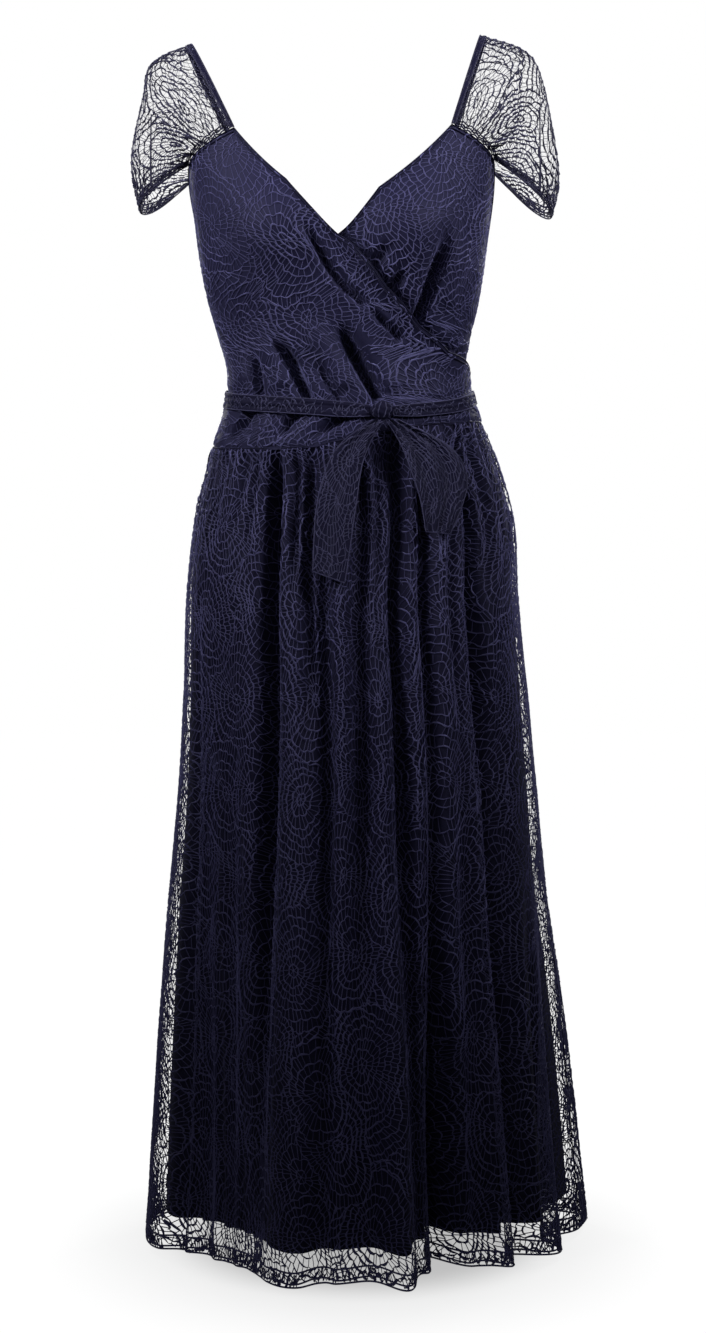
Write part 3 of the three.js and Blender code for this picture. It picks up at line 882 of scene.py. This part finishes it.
def makeSkirt(finish):
    rows = np.linspace(0, 1, skirt["rows"]) ** skirt["crowding"]
    threads = (finish["cord"], finish["rung"])
    pieces = {}
    for side, start, seed in (("front", 0, 11), ("back", 1, 12)):
        turns = np.linspace(start, start + 1, skirt["columns"][start])
        name = "skirt_" + side
        pieces[name + "_lining"] = gridSheet(name + "_lining_cloth", liningAt, turns, rows, 1,
                                             finish["lining"])

        def laceRow(turn, share):
            return skirtLace(turn, skirtRow(turn, share, skirt["hem"]))

        pieces[name] = gridSheet(name + "_ground", laceRow, turns[::2], rows[::2], 1,
                                 finish["sheer"])
        spread = unroll(skirtForm, (start, start + 1), (455, skirt["hem"]), (420, 240), start + 0.5,
                        gathered=skirt["gathered"][start])

        def inside(turn, down):
            return down > smoothAt(waistSeam, "turn", "down", turn)

        def weight(turn, down):
            sides = skirt["sideWeight"] * np.exp(-(np.sin(np.pi * turn) / skirt["sideReach"]) ** 2)
            low = ease((down - skirt["hemWeightDown"]) / skirt["hemWeightRamp"])
            return 1 + sides + skirt["hemWeight"] * low

        pieces[name + "_threads"] = weaveLace(
            name, skirtLace, spread, threads, seed, inside, weight,
        )

        def turnUp(turn, down):
            return skirtLace(turn, down) - skirt["turnUpBehind"] * outward(skirtLace, turn, down, 1)

        def nearHem(turn, down):
            return down > skirt["hem"] - skirt["turnUp"]

        lowSpan = (skirt["hem"] - skirt["turnUpTall"], skirt["hem"])
        low = unroll(skirtForm, (start, start + 1), lowSpan, (420, 12), start + 0.5,
                     gathered=skirt["turnUpGathered"])
        pieces[name + "_hem_threads"] = weaveLace(
            name + "_hem", turnUp, low, threads, seed + 60, nearHem, scale=(1.5, 1.5),
        )
    turns = np.linspace(0, 2, 600)
    seam = smoothAt(waistSeam, "turn", "down", turns)
    downs = np.linspace(490, skirt["hem"], 200)
    wave = np.sin(turns * 90 + 3 * np.sin(turns * 17))
    runs = []
    for up, sway, proud in zip(hemRolls["up"], hemRolls["sway"], hemRolls["proud"]):
        runs.append((skirtLace, turns, skirt["hem"] - up + sway * wave, 1, proud))
    pieces["skirt_hem_threads"] = edgeRolls("skirt_hem_edges", runs, 1.1, finish["cord"])
    runs = [
        (skirtLace, turns, seam + 0.4, 1, 0.2),
        (skirtLace, 0, downs, 1, 0.1),
        (skirtLace, 1, downs, 1, 0.1),
    ]
    pieces["skirt_seam_threads"] = edgeRolls("skirt_seams", runs, 0.8, finish["trim"])
    return pieces


bodice = {"waistDown": 405, "waistShare": 0.3, "laceSpare": 1.0, "liningSpare": 2.0, "rim": 4.5}
bodicePanels = {
    "over": {"name": "bodice_over_front", "span": (0, 1), "low": 500, "columns": 190, "rows": 84},
    "under": {"name": "bodice_under_front", "span": (0.214, 1), "low": 420, "columns": 112, "rows": 60},
    "back": {"name": "bodice_back", "span": (1, 2), "low": 500, "columns": 142, "rows": 60},
}
# the upper edge of each panel
bodiceEdges = {
    "over": {
        "turn": (0, 0.084, 0.289, 0.414, 0.494, 0.57, 0.666, 0.778, 1),
        "down": (245, 160, 125, 193, 257, 317, 359, 386, 398),
    },
    "under": {
        "turn": (0.214, 0.324, 0.494, 0.552, 0.717, 0.922, 1),
        "down": (384, 345, 257, 202, 119, 152, 245),
    },
    "back": {
        "turn": (1, 1.078, 1.283, 1.506, 1.711, 1.916, 2),
        "down": (245, 152, 119, 262, 125, 160, 245),
    },
}
# where the fronts cross, the over front stands up along its edge and presses on the under front
crossing = {
    "flare": 4.5,
    "flareTall": 16,
    "flareFrom": (0.42, 0.1),
    "flareTo": (0.95, 0.15),
    "groove": 9,
    "grooveUp": 5,
    "grooveTall": 7,
    "grooveFrom": (0.44, 0.06),
    "press": 2,
}
# threads of the over front that are bolder or calmer than the rest
overBold = {"turn": 0.69, "wide": 0.09, "down": 402, "tall": 34, "more": 0.55}
overMiddle = {"turn": 0.45, "wide": 0.09, "down": 345, "tall": 60, "more": -0.25}
overCalm = {"turn": (0.44, 0.1), "down": (285, 70), "more": -0.3}
# the tie, which also presses a groove into the bodice
tie = {
    "wide": 18,
    "leftWide": 14.5,
    "clear": 1.1,
    "frontClear": 3.4,
    "taper": 0.35,
    "taperOver": 0.05,
    "narrows": (0.5, 1.1, 0.1),
    "front": (0.08, 0.92, 0.2),
    "crease": 2.0,
    "bulge": 1.4,
    "flat": 0.3,
    "groove": 2.6,
    "grooveWide": 4,
}
# two creases run along the tie and wander over its width
tieCreases = (
    {"share": 0.12, "sway": 0.1, "turns": 9, "from": 0, "wide": 0.1},
    {"share": -0.22, "sway": 0.07, "turns": 14, "from": 1, "wide": 0.08},
)
# soft ridges and troughs of each panel: where they run across the dress and down it, how wide
# they are to the left and right of that, and how far they stand out, or go in where negative
creases = {
    "over": (
        {"path": ((-45, 232), (8, 310), (62, 372)), "left": 11, "right": 11, "reach": 4},
        {"path": ((14, 330), (64, 436)), "left": 11, "right": 16, "reach": 5},
        {"path": ((-42, 338), (14, 432)), "left": 15, "right": 10, "reach": 6.5},
        {"path": ((-84, 366), (-58, 428)), "left": 12, "right": 8, "reach": 5},
        {"path": ((-116, 380), (-103, 420)), "left": 10, "right": 7, "reach": 3.5},
        {"path": ((-45, 237), (-26, 269), (-10, 295), (9, 317), (35, 340)), "left": 4, "right": 6,
         "reach": -17},
        {"path": ((32, 338), (54, 358), (74, 375)), "left": 3.5, "right": 5, "reach": -12},
        {"path": ((-1, 350), (10, 377), (25, 406), (48, 446)), "left": 6, "right": 10, "reach": -36},
        {"path": ((-74, 370), (-54, 400), (-34, 446)), "left": 5, "right": 8, "reach": -27},
        {"path": ((-95, 384), (-88, 438)), "left": 4, "right": 5.5, "reach": -16},
        {"path": ((-26, 398), (4, 446)), "left": 4, "right": 6, "reach": -10},
        {"path": ((-128, 496), (-108, 473), (-92, 450)), "left": 4, "right": 6.5, "reach": -14},
        {"path": ((-70, 494), (-40, 454)), "left": 3.5, "right": 5, "reach": -11},
        {"path": ((-32, 495), (16, 460)), "left": 3.5, "right": 6, "reach": -12},
        {"path": ((-92, 492), (-70, 462)), "left": 7, "right": 7, "reach": 3},
        {"path": ((-50, 494), (-18, 462)), "left": 6, "right": 6, "reach": 2.5},
        {"path": ((-112, 300), (-104, 350), (-100, 400)), "left": 9, "right": 12, "reach": -2},
    ),
    "under": (
        {"path": ((134, 238), (122, 280), (108, 318), (92, 358)), "left": 8, "right": 5, "reach": -28},
        {"path": ((150, 240), (139, 285), (126, 335)), "left": 9, "right": 10, "reach": 5},
        {"path": ((79, 294), (54, 322)), "left": 5, "right": 7, "reach": -15},
        {"path": ((62, 262), (40, 294)), "left": 5, "right": 8, "reach": -9},
    ),
    "back": (
        {"path": ((-126, 290), (-96, 372), (-84, 452)), "left": 5, "right": 8, "reach": -12},
        {"path": ((134, 286), (106, 370), (98, 446)), "left": 8, "right": 5, "reach": -12},
        {"path": ((-38, 352), (-20, 452)), "left": 5, "right": 7, "reach": -10},
        {"path": ((58, 366), (42, 448)), "left": 6, "right": 5, "reach": -9},
        {"path": ((12, 392), (14, 452)), "left": 5, "right": 5, "reach": -6},
        {"path": ((-100, 496), (-84, 458)), "left": 5, "right": 5, "reach": -6},
        {"path": ((112, 486), (96, 452)), "left": 5, "right": 5, "reach": -6},
    ),
}
creaseFade = {"start": 0.45, "end": 0.08}


def creaseReach(side, x, down):
    reach = np.zeros(np.shape(x))
    for crease in creases[side]:
        path = np.array(crease["path"], float)
        longs = np.linalg.norm(np.diff(path, axis=0), axis=1)
        near = np.full(np.shape(x), 1e9)
        at = np.zeros(np.shape(x))
        toRight = np.ones(np.shape(x), bool)
        for k, (start, end) in enumerate(zip(path[:-1], path[1:])):
            way = (end - start) / longs[k]
            s = np.clip((x - start[0]) * way[0] + (down - start[1]) * way[1], 0, longs[k])
            offX = x - start[0] - s * way[0]
            offDown = down - start[1] - s * way[1]
            away = np.hypot(offX, offDown)
            closer = away < near
            at = np.where(closer, (longs[:k].sum() + s) / longs.sum(), at)
            toRight = np.where(closer, offX * way[1] - offDown * way[0] > 0, toRight)
            near = np.minimum(near, away)
        fade = ease(at / creaseFade["start"]) * ease((1 - at) / creaseFade["end"])
        width = np.where(toRight, crease["right"], crease["left"])
        crisp = 3 if crease["reach"] < 0 else 2
        reach = reach + crease["reach"] * fade * np.exp(-(near / width) ** crisp)
    return reach


def within(table, first, last, turn):
    start, rise = table[first]
    end, fall = table[last]
    return ease((turn - start) / rise) * ease((end - turn) / fall)


def bodiceOut(side, turn, down):
    x = onBody(turn, down, 0)[..., 0]
    seam = (smoothAt(waistSeam, "turn", "down", turn) - down) / seamRoll["wide"]
    above = (smoothAt(tieLine, "turn", "down", turn) - tie["wide"] / 2 - 1 - down) / tie["grooveWide"]
    groove = seamRoll["deep"] * np.exp(-seam * seam) + tie["groove"] * np.exp(-above * above)
    if side == "back":
        return lift["under"] + creaseReach(side, x, down) - groove
    over = creaseReach("over", x, down)
    edge = down - straightAt(bodiceEdges["over"], "turn", "down", turn)
    if side == "over":
        flare = crossing["flare"] * np.exp(-(edge / crossing["flareTall"]) ** 2)
        return overOut(turn) + over + flare * within(crossing, "flareFrom", "flareTo", turn) - groove
    start, ramp = crossing["grooveFrom"]
    beside = np.exp(-((edge + crossing["grooveUp"]) / crossing["grooveTall"]) ** 2)
    groove = groove + crossing["groove"] * beside * ease((turn - start) / ramp)
    pressed = np.minimum(0, over + crossing["press"])
    return lift["under"] + creaseReach(side, x, down) + pressed - groove


def bodiceDown(side, turn, share, spare):
    low = smoothAt(waistSeam, "turn", "down", turn) + spare
    high = straightAt(bodiceEdges[side], "turn", "down", turn)
    lower = low + (bodice["waistDown"] - low) * share / bodice["waistShare"]
    rest = (share - bodice["waistShare"]) / (1 - bodice["waistShare"])
    upper = bodice["waistDown"] + (high - bodice["waistDown"]) * rest
    return np.where(share < bodice["waistShare"], lower, upper)


def patch(place, turn, down):
    across = (turn - place["turn"]) / place["wide"]
    along = (down - place["down"]) / place["tall"]
    return place["more"] * np.exp(-(across ** 2 + along ** 2))


def overWeight(turn, down):
    lastTurn, turnRamp = overCalm["turn"]
    lastDown, downRamp = overCalm["down"]
    calm = overCalm["more"] * ease((lastDown - down) / downRamp) * ease((lastTurn - turn) / turnRamp)
    return 1 + calm + patch(overBold, turn, down) + patch(overMiddle, turn, down)


def makeBodice(finish):
    pieces = {}
    threads = (finish["cord"], finish["rung"])
    for k, (side, panel) in enumerate(bodicePanels.items()):
        name = panel["name"]
        shell = "bodice_" + side + "_lining"
        turns = np.linspace(*panel["span"], panel["columns"])
        shares = np.linspace(0, 1, panel["rows"])

        def laceAt(turn, down):
            return onBody(turn, down, bodiceOut(side, turn, down))

        def laceRow(turn, share):
            return laceAt(turn, bodiceDown(side, turn, share, bodice["laceSpare"]))

        def liningRow(turn, share):
            down = bodiceDown(side, turn, share, bodice["liningSpare"])
            return onBody(turn, down, bodiceOut(side, turn, down) - lift["lining"])

        pieces[shell] = gridSheet(shell + "_cloth", liningRow, turns, shares, -1,
                                  finish["upperLining"])
        pieces[name] = gridSheet(name + "_ground", laceRow, turns[::2], shares[::2], -1,
                                 finish["sheer"])
        spread = unroll(laceAt, panel["span"], (112, panel["low"]), (300, 160), sum(panel["span"]) / 2)

        def inside(turn, down):
            top = straightAt(bodiceEdges[side], "turn", "down", turn)
            return (down > top) & (down < smoothAt(waistSeam, "turn", "down", turn))

        weight = overWeight if side == "over" else evenly
        pieces[name + "_threads"] = weaveLace(
            name, laceAt, spread, threads, 21 + k, inside, weight,
        )
        rim = np.unique(np.concatenate([np.linspace(*panel["span"], 170), bodiceEdges[side]["turn"]]))
        top = straightAt(bodiceEdges[side], "turn", "down", rim)
        runs = [(laceAt, rim, top, 1, -0.7), (laceAt, rim, top + bodice["rim"], 1, 0.0)]
        pieces[name + "_edge_threads"] = edgeRolls(name + "_edge", runs, 0.9, finish["trim"])
    return pieces


# each sleeve's seam with the bodice, and the crown line from its neck edge to its free edge
sleeves = {
    "right": {
        "seam": {"turn": (0.289, 0.084), "down": (125, 160)},
        "share": (0, 0.16, 0.26, 0.38, 0.65, 0.8, 1),
        "x": (-175, -211, -228, -233, -246, -247, -237),
        "down": (8, 22, 38, 66, 128, 163, 208),
        "sense": -1,
    },
    "left": {
        "seam": {"turn": (0.717, 0.922), "down": (119, 152)},
        "share": (0, 0.18, 0.28, 0.4, 0.65, 0.82, 1),
        "x": (170, 212, 233, 245, 258, 265, 256),
        "down": (-3, 9, 23, 50, 112, 168, 214),
        "sense": 1,
    },
}
sleeveCut = {
    "armRoom": 24,
    "clear": 0.3,
    "rise": 2,
    "wide": 234,
    "band": 7.5,
    "bandOut": 0.8,
    "hem": 14,
    "hemIn": 1.0,
    "gather": 3.0,
    "gatherReach": 0.16,
    "pleats": 8,
    "pleatSway": 1.3,
}
# threads are finer behind and thicker at the lower edge
sleeveWeight = {
    "all": 1.25,
    "low": (0.72, 0.15),
    "lowMore": 0.2,
    "lowKept": 0.85,
    "behind": (0.5, 0.08),
    "behindLess": 0.65,
}
# the fold down the front of each sleeve, where it falls
sleeveFold = {"right": {"x": -219, "share": (0.5, 0.97)}, "left": {"x": 238, "share": (0.55, 0.97)}}
# rolled threads: at a share from neck to free edge, beside the fold, and at a round from front to back
sleeveRolls = {
    "free": {"share": (0.996, 0.985), "proud": (0.0, 0.8)},
    "fold": {"share": (-0.012, -0.005, 0.002), "round": (0.004, 0, 0), "proud": (0.3, 0.5, 0.5)},
    "seam": {"round": (0.003, 0.010, 0.018, 0.997), "proud": (0.3, 0.1, -0.1, 0.3)},
}


def onSleeve(side, share, round):
    sleeve = sleeves[side]
    seam = sleeve["seam"]
    turn = seam["turn"][0] + (seam["turn"][1] - seam["turn"][0]) * share
    down = seam["down"][0] + (seam["down"][1] - seam["down"][0]) * share
    down = down - sleeveCut["clear"] - sleeveCut["rise"] * share * share
    out = overOut(turn) if side == "right" else lift["under"]
    ahead = onBody(turn, down, out)
    behind = onBody(2 - turn, down, lift["under"])
    foot = np.where((round > 0.5)[..., None], behind, ahead)
    crownX = smoothAt(sleeve, "share", "x", share)
    crownDown = smoothAt(sleeve, "share", "down", share)
    rise = np.sin(np.pi * round)
    y = foot[..., 1] * np.abs(np.cos(np.pi * round))
    y = y - sleeveCut["armRoom"] * share * np.sin(2 * np.pi * round)
    x = foot[..., 0] + (crownX - foot[..., 0]) * rise
    z = foot[..., 2] + (-crownDown - foot[..., 2]) * rise
    return np.stack([x, y, z], -1)


def sleeveLace(side):
    def surface(share, round):
        share, round = np.broadcast_arrays(np.asarray(share, float), np.asarray(round, float))
        near = np.exp(-(np.minimum(round, 1 - round) / sleeveCut["gatherReach"]) ** 2)
        sway = sleeveCut["pleatSway"] * np.sin(5 * share)
        wave = np.sin(2 * np.pi * sleeveCut["pleats"] * share + sway)
        points = onSleeve(side, share, round)
        points[..., 1] += np.where(round < 0.5, -1, 1) * sleeveCut["gather"] * near * wave * ease(near * 3)
        return points

    return surface


def makeSleeves(finish):
    pieces = {}
    for k, side in enumerate(("right", "left")):
        surface = sleeveLace(side)
        sense = -sleeves[side]["sense"]
        name = "sleeve_" + side
        shares = np.linspace(0, 1, 72)
        rounds = np.linspace(0, 1, 90)
        # the ground in the darker copy of the lace ground's colour: painted shade of the backlit sleeve
        pieces[name] = gridSheet(name + "_ground", surface, shares, rounds, -sense,
                                 finish["shadedOpenSheer"])
        spread = unroll(surface, (0, 1), (0.0, 1.0), (160, 200), 0.5, sleeveCut["wide"])

        def inside(share, round):
            return (share > 0.01) & (share < 0.99)

        def weight(share, round):
            middle, ramp = sleeveWeight["behind"]
            behind = ease((round - middle) / ramp)
            start, ramp = sleeveWeight["low"]
            low = ease((share - start) / ramp)
            finer = sleeveWeight["behindLess"] * behind * (1 - sleeveWeight["lowKept"] * low)
            return sleeveWeight["all"] + sleeveWeight["lowMore"] * low - finer

        # threads in darker copies of the lace colours: painted shade of the backlit sleeve
        threads = (finish["shadedOpenCord"], finish["shadedOpenRung"])
        pieces[name + "_threads"] = weaveLace(
            name, surface, spread, threads, 31 + k, inside, weight, (1.15, 0.75), sense=sense,
        )
        band = np.linspace(0, 1, 5) * sleeveCut["band"] / sleeveCut["wide"]

        def bandAt(share, round):
            return surface(share, round) + outward(surface, share, round, sense) * sleeveCut["bandOut"]

        pieces[name + "_band"] = gridSheet(name + "_band_cloth", bandAt, band, rounds, -sense,
                                           finish["band"])

        def onBand(share, round):
            return share < band[-1]

        pieces[name + "_band_threads"] = weaveLace(
            name + "_band", bandAt, spread, threads, 81 + k, onBand, sense=sense, proud=0.3,
        )

        def turnUp(share, round):
            return surface(share, round) - outward(surface, share, round, sense) * sleeveCut["hemIn"]

        inner = sleeveCut["hem"] / sleeveCut["wide"]

        def nearEdge(share, round):
            return share > 1 - inner

        spread = unroll(turnUp, (0, 1), (0.0, 1.0), (160, 200), 0.5, 2 * sleeveCut["wide"])
        foldShares = np.linspace(*sleeveFold[side]["share"], 40)
        ahead = np.linspace(0.04, 0.5, 400)
        foldX = surface(foldShares[:, None], ahead[None, :])[..., 0]
        foldRounds = ahead[np.abs(foldX - sleeveFold[side]["x"]).argmin(axis=1)]
        pieces[name + "_hem_threads"] = weaveLace(
            name + "_hem", turnUp, spread, threads, 71 + k, nearEdge, scale=(1.5, 1.6), sense=sense,
        )
        fine = np.linspace(0, 1, 150)
        runs = []
        for share, proud in zip(*sleeveRolls["free"].values()):
            runs.append((surface, share, fine, sense, proud))
        for share, round, proud in zip(*sleeveRolls["fold"].values()):
            runs.append((surface, foldShares + share, foldRounds + round, sense, proud))
        for share, proud in ((1 - inner, 0.0), (1 - inner * 0.5, -0.4), (band[-1], 0.9), (0.002, 0.9)):
            runs.append((surface, share, fine, sense, proud))
        for round, proud in zip(*sleeveRolls["seam"].values()):
            runs.append((surface, np.linspace(0, 1, 90), round, sense, proud))
        # rolled edges in the darker copy of the cord colour: painted shade of the backlit sleeve
        pieces[name + "_edge_threads"] = edgeRolls(name + "_edges", runs, 0.9, finish["shadedOpenCord"])
    return pieces


knot = {
    "turn": 0.565,
    "across": 13.5,
    "deep": 7.4,
    "tall": 11.5,
    "proud": 15.4,
    "half": 0.0305,
    "overlap": 0.006,
    "wraps": (-0.3, -0.1, 0.12, 0.32),
    "wrapLean": 0.22,
}
tailDrop = {"from": 560, "over": 90}
# how far each free end falls, and its two edges across the dress on the way down
tails = {
    "long": {
        "down": (468.6, 495, 522, 570, 644),
        "left": (40, 6, -10, -22, -26),
        "right": (52, 37, 28, 21, 9),
        "proud": (15.5, 13, 12, 11, 11),
        "slant": 14,
        "fans": 1.6,
        "fan": 1.8,
    },
    "short": {
        "down": (468.6, 497, 530, 565, 598),
        "left": (54, 70, 82, 92, 97),
        "right": (68, 124, 144, 139, 125),
        "proud": (15.5, 13.6, 13, 12.6, 12.2),
        "slant": 5,
        "fans": 2.6,
        "fan": 3.0,
    },
}


def between(turn, start, end, ramp):
    return ease((turn - start) / ramp) * ease((end - turn) / ramp)


def tieAt(turn, share):
    near = np.exp(-((turn - knot["turn"]) / tie["taperOver"]) ** 2)
    left = between(turn, *tie["narrows"])
    wide = (tie["wide"] + (tie["leftWide"] - tie["wide"]) * left) * (1 - tie["taper"] * near)
    front = between(turn, *tie["front"])
    clear = tie["clear"] + (tie["frontClear"] - tie["clear"]) * front
    down = smoothAt(tieLine, "turn", "down", turn) + wide * share
    bulge = tie["bulge"] * (tie["flat"] + (1 - tie["flat"]) * front) * (1 - (2 * share) ** 2)
    fold = 0
    for crease in tieCreases:
        middle = crease["share"] + crease["sway"] * np.sin(crease["turns"] * turn + crease["from"])
        fold = fold + tie["crease"] * np.exp(-((share - middle) / crease["wide"]) ** 2)
    return onBody(turn, down, skirtOut(turn) + clear + bulge - fold)


def tailAt(name):
    rows = tails[name]

    def surface(share, down):
        share, down = np.broadcast_arrays(np.asarray(share, float), np.asarray(down, float))
        left, right, proud = [smoothAt(rows, "down", key, down) for key in ("left", "right", "proud")]
        fallen = down + ease((down - tailDrop["from"]) / tailDrop["over"]) * rows["slant"] * share
        s = (down - rows["down"][0]) / (rows["down"][-1] - rows["down"][0])
        fan = np.sin(2 * np.pi * rows["fans"] * share + 2 * s) * rows["fan"] * (1 - 0.5 * s)
        return onBody(turnAt(left + (right - left) * share, fallen), fallen, proud + fan)

    return surface


def knotAt(around, up):
    # an egg with grooves where the band wraps over itself
    angle = np.pi * around
    rise = np.pi * (up - 0.5)
    grooves = 1 - 0.16 * np.cos(2 * angle + 3 * up) ** 8 - 0.1 * np.cos(5 * rise + 2 * np.sin(angle)) ** 6
    x = knot["across"] * np.cos(rise) * np.sin(angle) * grooves
    y = -knot["deep"] * np.cos(rise) * np.cos(angle) * grooves
    z = knot["tall"] * np.sin(rise) * (1 - 0.12 * np.sin(angle) ** 2)
    middle = onBody(knot["turn"], smoothAt(tieLine, "turn", "down", knot["turn"]), knot["proud"])
    return np.stack([x, y, z], -1) + middle


def makeTie(finish):
    pieces = {}
    inKnot = knot["half"] - knot["overlap"]
    spans = {
        "tie_front_right": (0.0003, knot["turn"] - inKnot, 150),
        "tie_front_left": (knot["turn"] + inKnot, 0.9997, 120),
        "tie_back": (1.0003, 1.9997, 160),
    }
    threads = (finish["tieCord"], finish["tieCord"])
    for k, (name, (start, end, many)) in enumerate(spans.items()):
        shares = np.linspace(-0.5, 0.5, 14)
        pieces[name] = gridSheet(name + "_cloth", tieAt, np.linspace(start, end, many), shares, 1,
                                 finish["trim"])
        spread = unroll(tieAt, (start, end), (-0.5, 0.5), (200, 20), (start + end) / 2, gathered=0.6)
        pieces[name + "_threads"] = weaveLace(
            name, tieAt, spread, threads, 41 + k, scale=(0.9, 1), proud=0.3,
        )
    for k, name in enumerate(("long", "short")):
        rows = tails[name]
        surface = tailAt(name)
        piece = "tie_" + name + "_end"
        downs = np.linspace(rows["down"][0], rows["down"][-1], 70)
        pieces[piece] = gridSheet(piece + "_cloth", surface, np.linspace(0, 1, 28), downs, 1,
                                  finish["trim"])
        spread = unroll(surface, (0, 1), (rows["down"][0], rows["down"][-1]), (40, 80), 0.5, gathered=0.6)
        pieces[piece + "_threads"] = weaveLace(
            piece, surface, spread, threads, 51 + k, scale=(0.9, 1), proud=0.3,
        )
    shown = np.linspace(0.002, 0.998, 120)
    runs = []
    for start, end, many in spans.values():
        turns = np.linspace(start, end, many)
        runs += [(tieAt, turns, -0.5, 1, 0.2), (tieAt, turns, 0.5, 1, 0.2)]
    for name in ("long", "short"):
        surface = tailAt(name)
        first, last = tails[name]["down"][0], tails[name]["down"][-1]
        downs = first + (last - first) * shown
        runs += [(surface, 0, downs, 1, 0.2), (surface, 1, downs, 1, 0.2), (surface, shown, last, 1, 0.2)]
    up = np.linspace(0.24, 0.8, 30)
    for lean in knot["wraps"]:
        runs.append((knotAt, lean + knot["wrapLean"] * (up - 0.5), up, -1, 0.1))
    pieces["tie_edge_threads"] = edgeRolls("tie_edges", runs, 0.6, finish["tieCord"])
    around, upright = np.linspace(-1, 1, 49), np.linspace(0, 1, 25)
    pieces["tie_knot"] = gridSheet("tie_knot_cloth", knotAt, around, upright, -1, finish["trim"])
    closeSeams(pieces["tie_knot"])
    return pieces


floor = setStage()
floor.data.materials.append(floorFinish())
lightRoom()
finish = {
    "lining": satinFinish("navy satin lining", tint(14, 13, 24), tint(33, 32, 51), 0.6),
    "upperLining": satinFinish("navy satin bodice lining", tint(16, 16, 29), tint(41, 40, 64), 0.6),
    "cord": threadFinish("lace cord", tint(54, 53, 86), tint(84, 83, 126), 0.6, 0.0009),
    "rung": threadFinish("lace rung", tint(52, 51, 84), tint(80, 79, 120), 0.65, 0.0007),
    "tieCord": threadFinish("tie lace cord", tint(38, 37, 61), tint(64, 63, 95), 0.65, 0.0009),
    # the sleeves' open lace is the same lace as the cords, rungs and ground above, in darker copies of their
    # colours: painted shade for the sleeves lit from behind
    "shadedOpenCord": threadFinish("shaded open lace cord", tint(22, 21, 37), tint(40, 39, 62), 0.7, 0.0009),
    "shadedOpenRung": threadFinish("shaded open lace rung", tint(28, 27, 45), tint(46, 45, 70), 0.7, 0.0007),
    "sheer": sheerFinish("lace ground", tint(50, 49, 78), tint(70, 69, 104), 0.01, 0.1),
    "shadedOpenSheer": sheerFinish("shaded open lace ground", tint(34, 33, 54), tint(50, 49, 76), 0.01, 0.1),
    "band": satinFinish("sleeve band backing", tint(17, 16, 30), tint(27, 26, 45), 0.75),
    "trim": satinFinish("tie lace backing", tint(13, 12, 24), tint(28, 27, 46), 0.68),
}
print("finishes ready")
made = {}
made.update(makeSkirt(finish))
print("skirt ready")
made.update(makeBodice(finish))
print("bodice ready")
made.update(makeSleeves(finish))
print("sleeves ready")
made.update(makeTie(finish))
print("tie ready")
for name, piece in made.items():
    if not name.endswith("_threads"):
        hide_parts(name)

# each cut: its flat size in metres, its area, how it is held, what it rests on and what else is sewn to it
cuts = {
    "skirt_front": ((0.98, 0.95), 0.76, "gathered", ["bodice_over_front"],
                    ["skirt_front_hem", "skirt_hem", "skirt_seam"]),
    "skirt_back": ((0.9, 0.95), 0.64, "gathered", ["bodice_back"], ["skirt_back_hem"]),
    "skirt_front_lining": ((0.96, 0.9), 0.72, "gathered", ["bodice_over_lining"], []),
    "skirt_back_lining": ((0.88, 0.9), 0.6, "gathered", ["bodice_back_lining"], []),
    "bodice_over_front": ((0.42, 0.4), 0.11, "draped", ["bodice_over_lining"], ["bodice_over_front_edge"]),
    "bodice_under_front": ((0.4, 0.36), 0.1, "draped", ["bodice_under_lining"], ["bodice_under_front_edge"]),
    "bodice_back": ((0.44, 0.38), 0.125, "draped", ["bodice_back_lining"], ["bodice_back_edge"]),
    "bodice_over_lining": ((0.42, 0.4), 0.11, "draped", ["bodice_under_front"], []),
    "bodice_under_lining": ((0.4, 0.36), 0.1, "draped", ["bodice_back_lining"], []),
    "bodice_back_lining": ((0.44, 0.38), 0.125, "draped", ["bodice_under_lining"], []),
    "sleeve_right": ((0.234, 0.27), 0.052, "gathered", ["bodice_over_front"],
                     ["sleeve_right_hem", "sleeve_right_edge"]),
    "sleeve_left": ((0.234, 0.28), 0.055, "gathered", ["bodice_under_front"],
                    ["sleeve_left_hem", "sleeve_left_edge"]),
    "sleeve_right_band": ((0.01, 0.28), None, "folded", ["sleeve_right"], []),
    "sleeve_left_band": ((0.01, 0.28), None, "folded", ["sleeve_left"], []),
    "tie_front_right": ((0.018, 0.29), None, "stretched", ["bodice_over_front"], ["tie_edge"]),
    "tie_front_left": ((0.016, 0.2), None, "stretched", ["bodice_over_front"], []),
    "tie_back": ((0.018, 0.46), None, "stretched", ["bodice_back"], []),
    "tie_long_end": ((0.038, 0.2), None, "hung", ["skirt_front"], []),
    "tie_short_end": ((0.052, 0.17), None, "hung", ["skirt_front"], []),
    "tie_knot": ((0.018, 0.05), None, "folded", ["tie_front_right"], []),
}
for name, (flat, area, held, under, sewn) in cuts.items():
    extra = []
    for word in [name, *sewn]:
        found = made.get(word + "_threads", [])
        extra += found if isinstance(found, list) else [found]
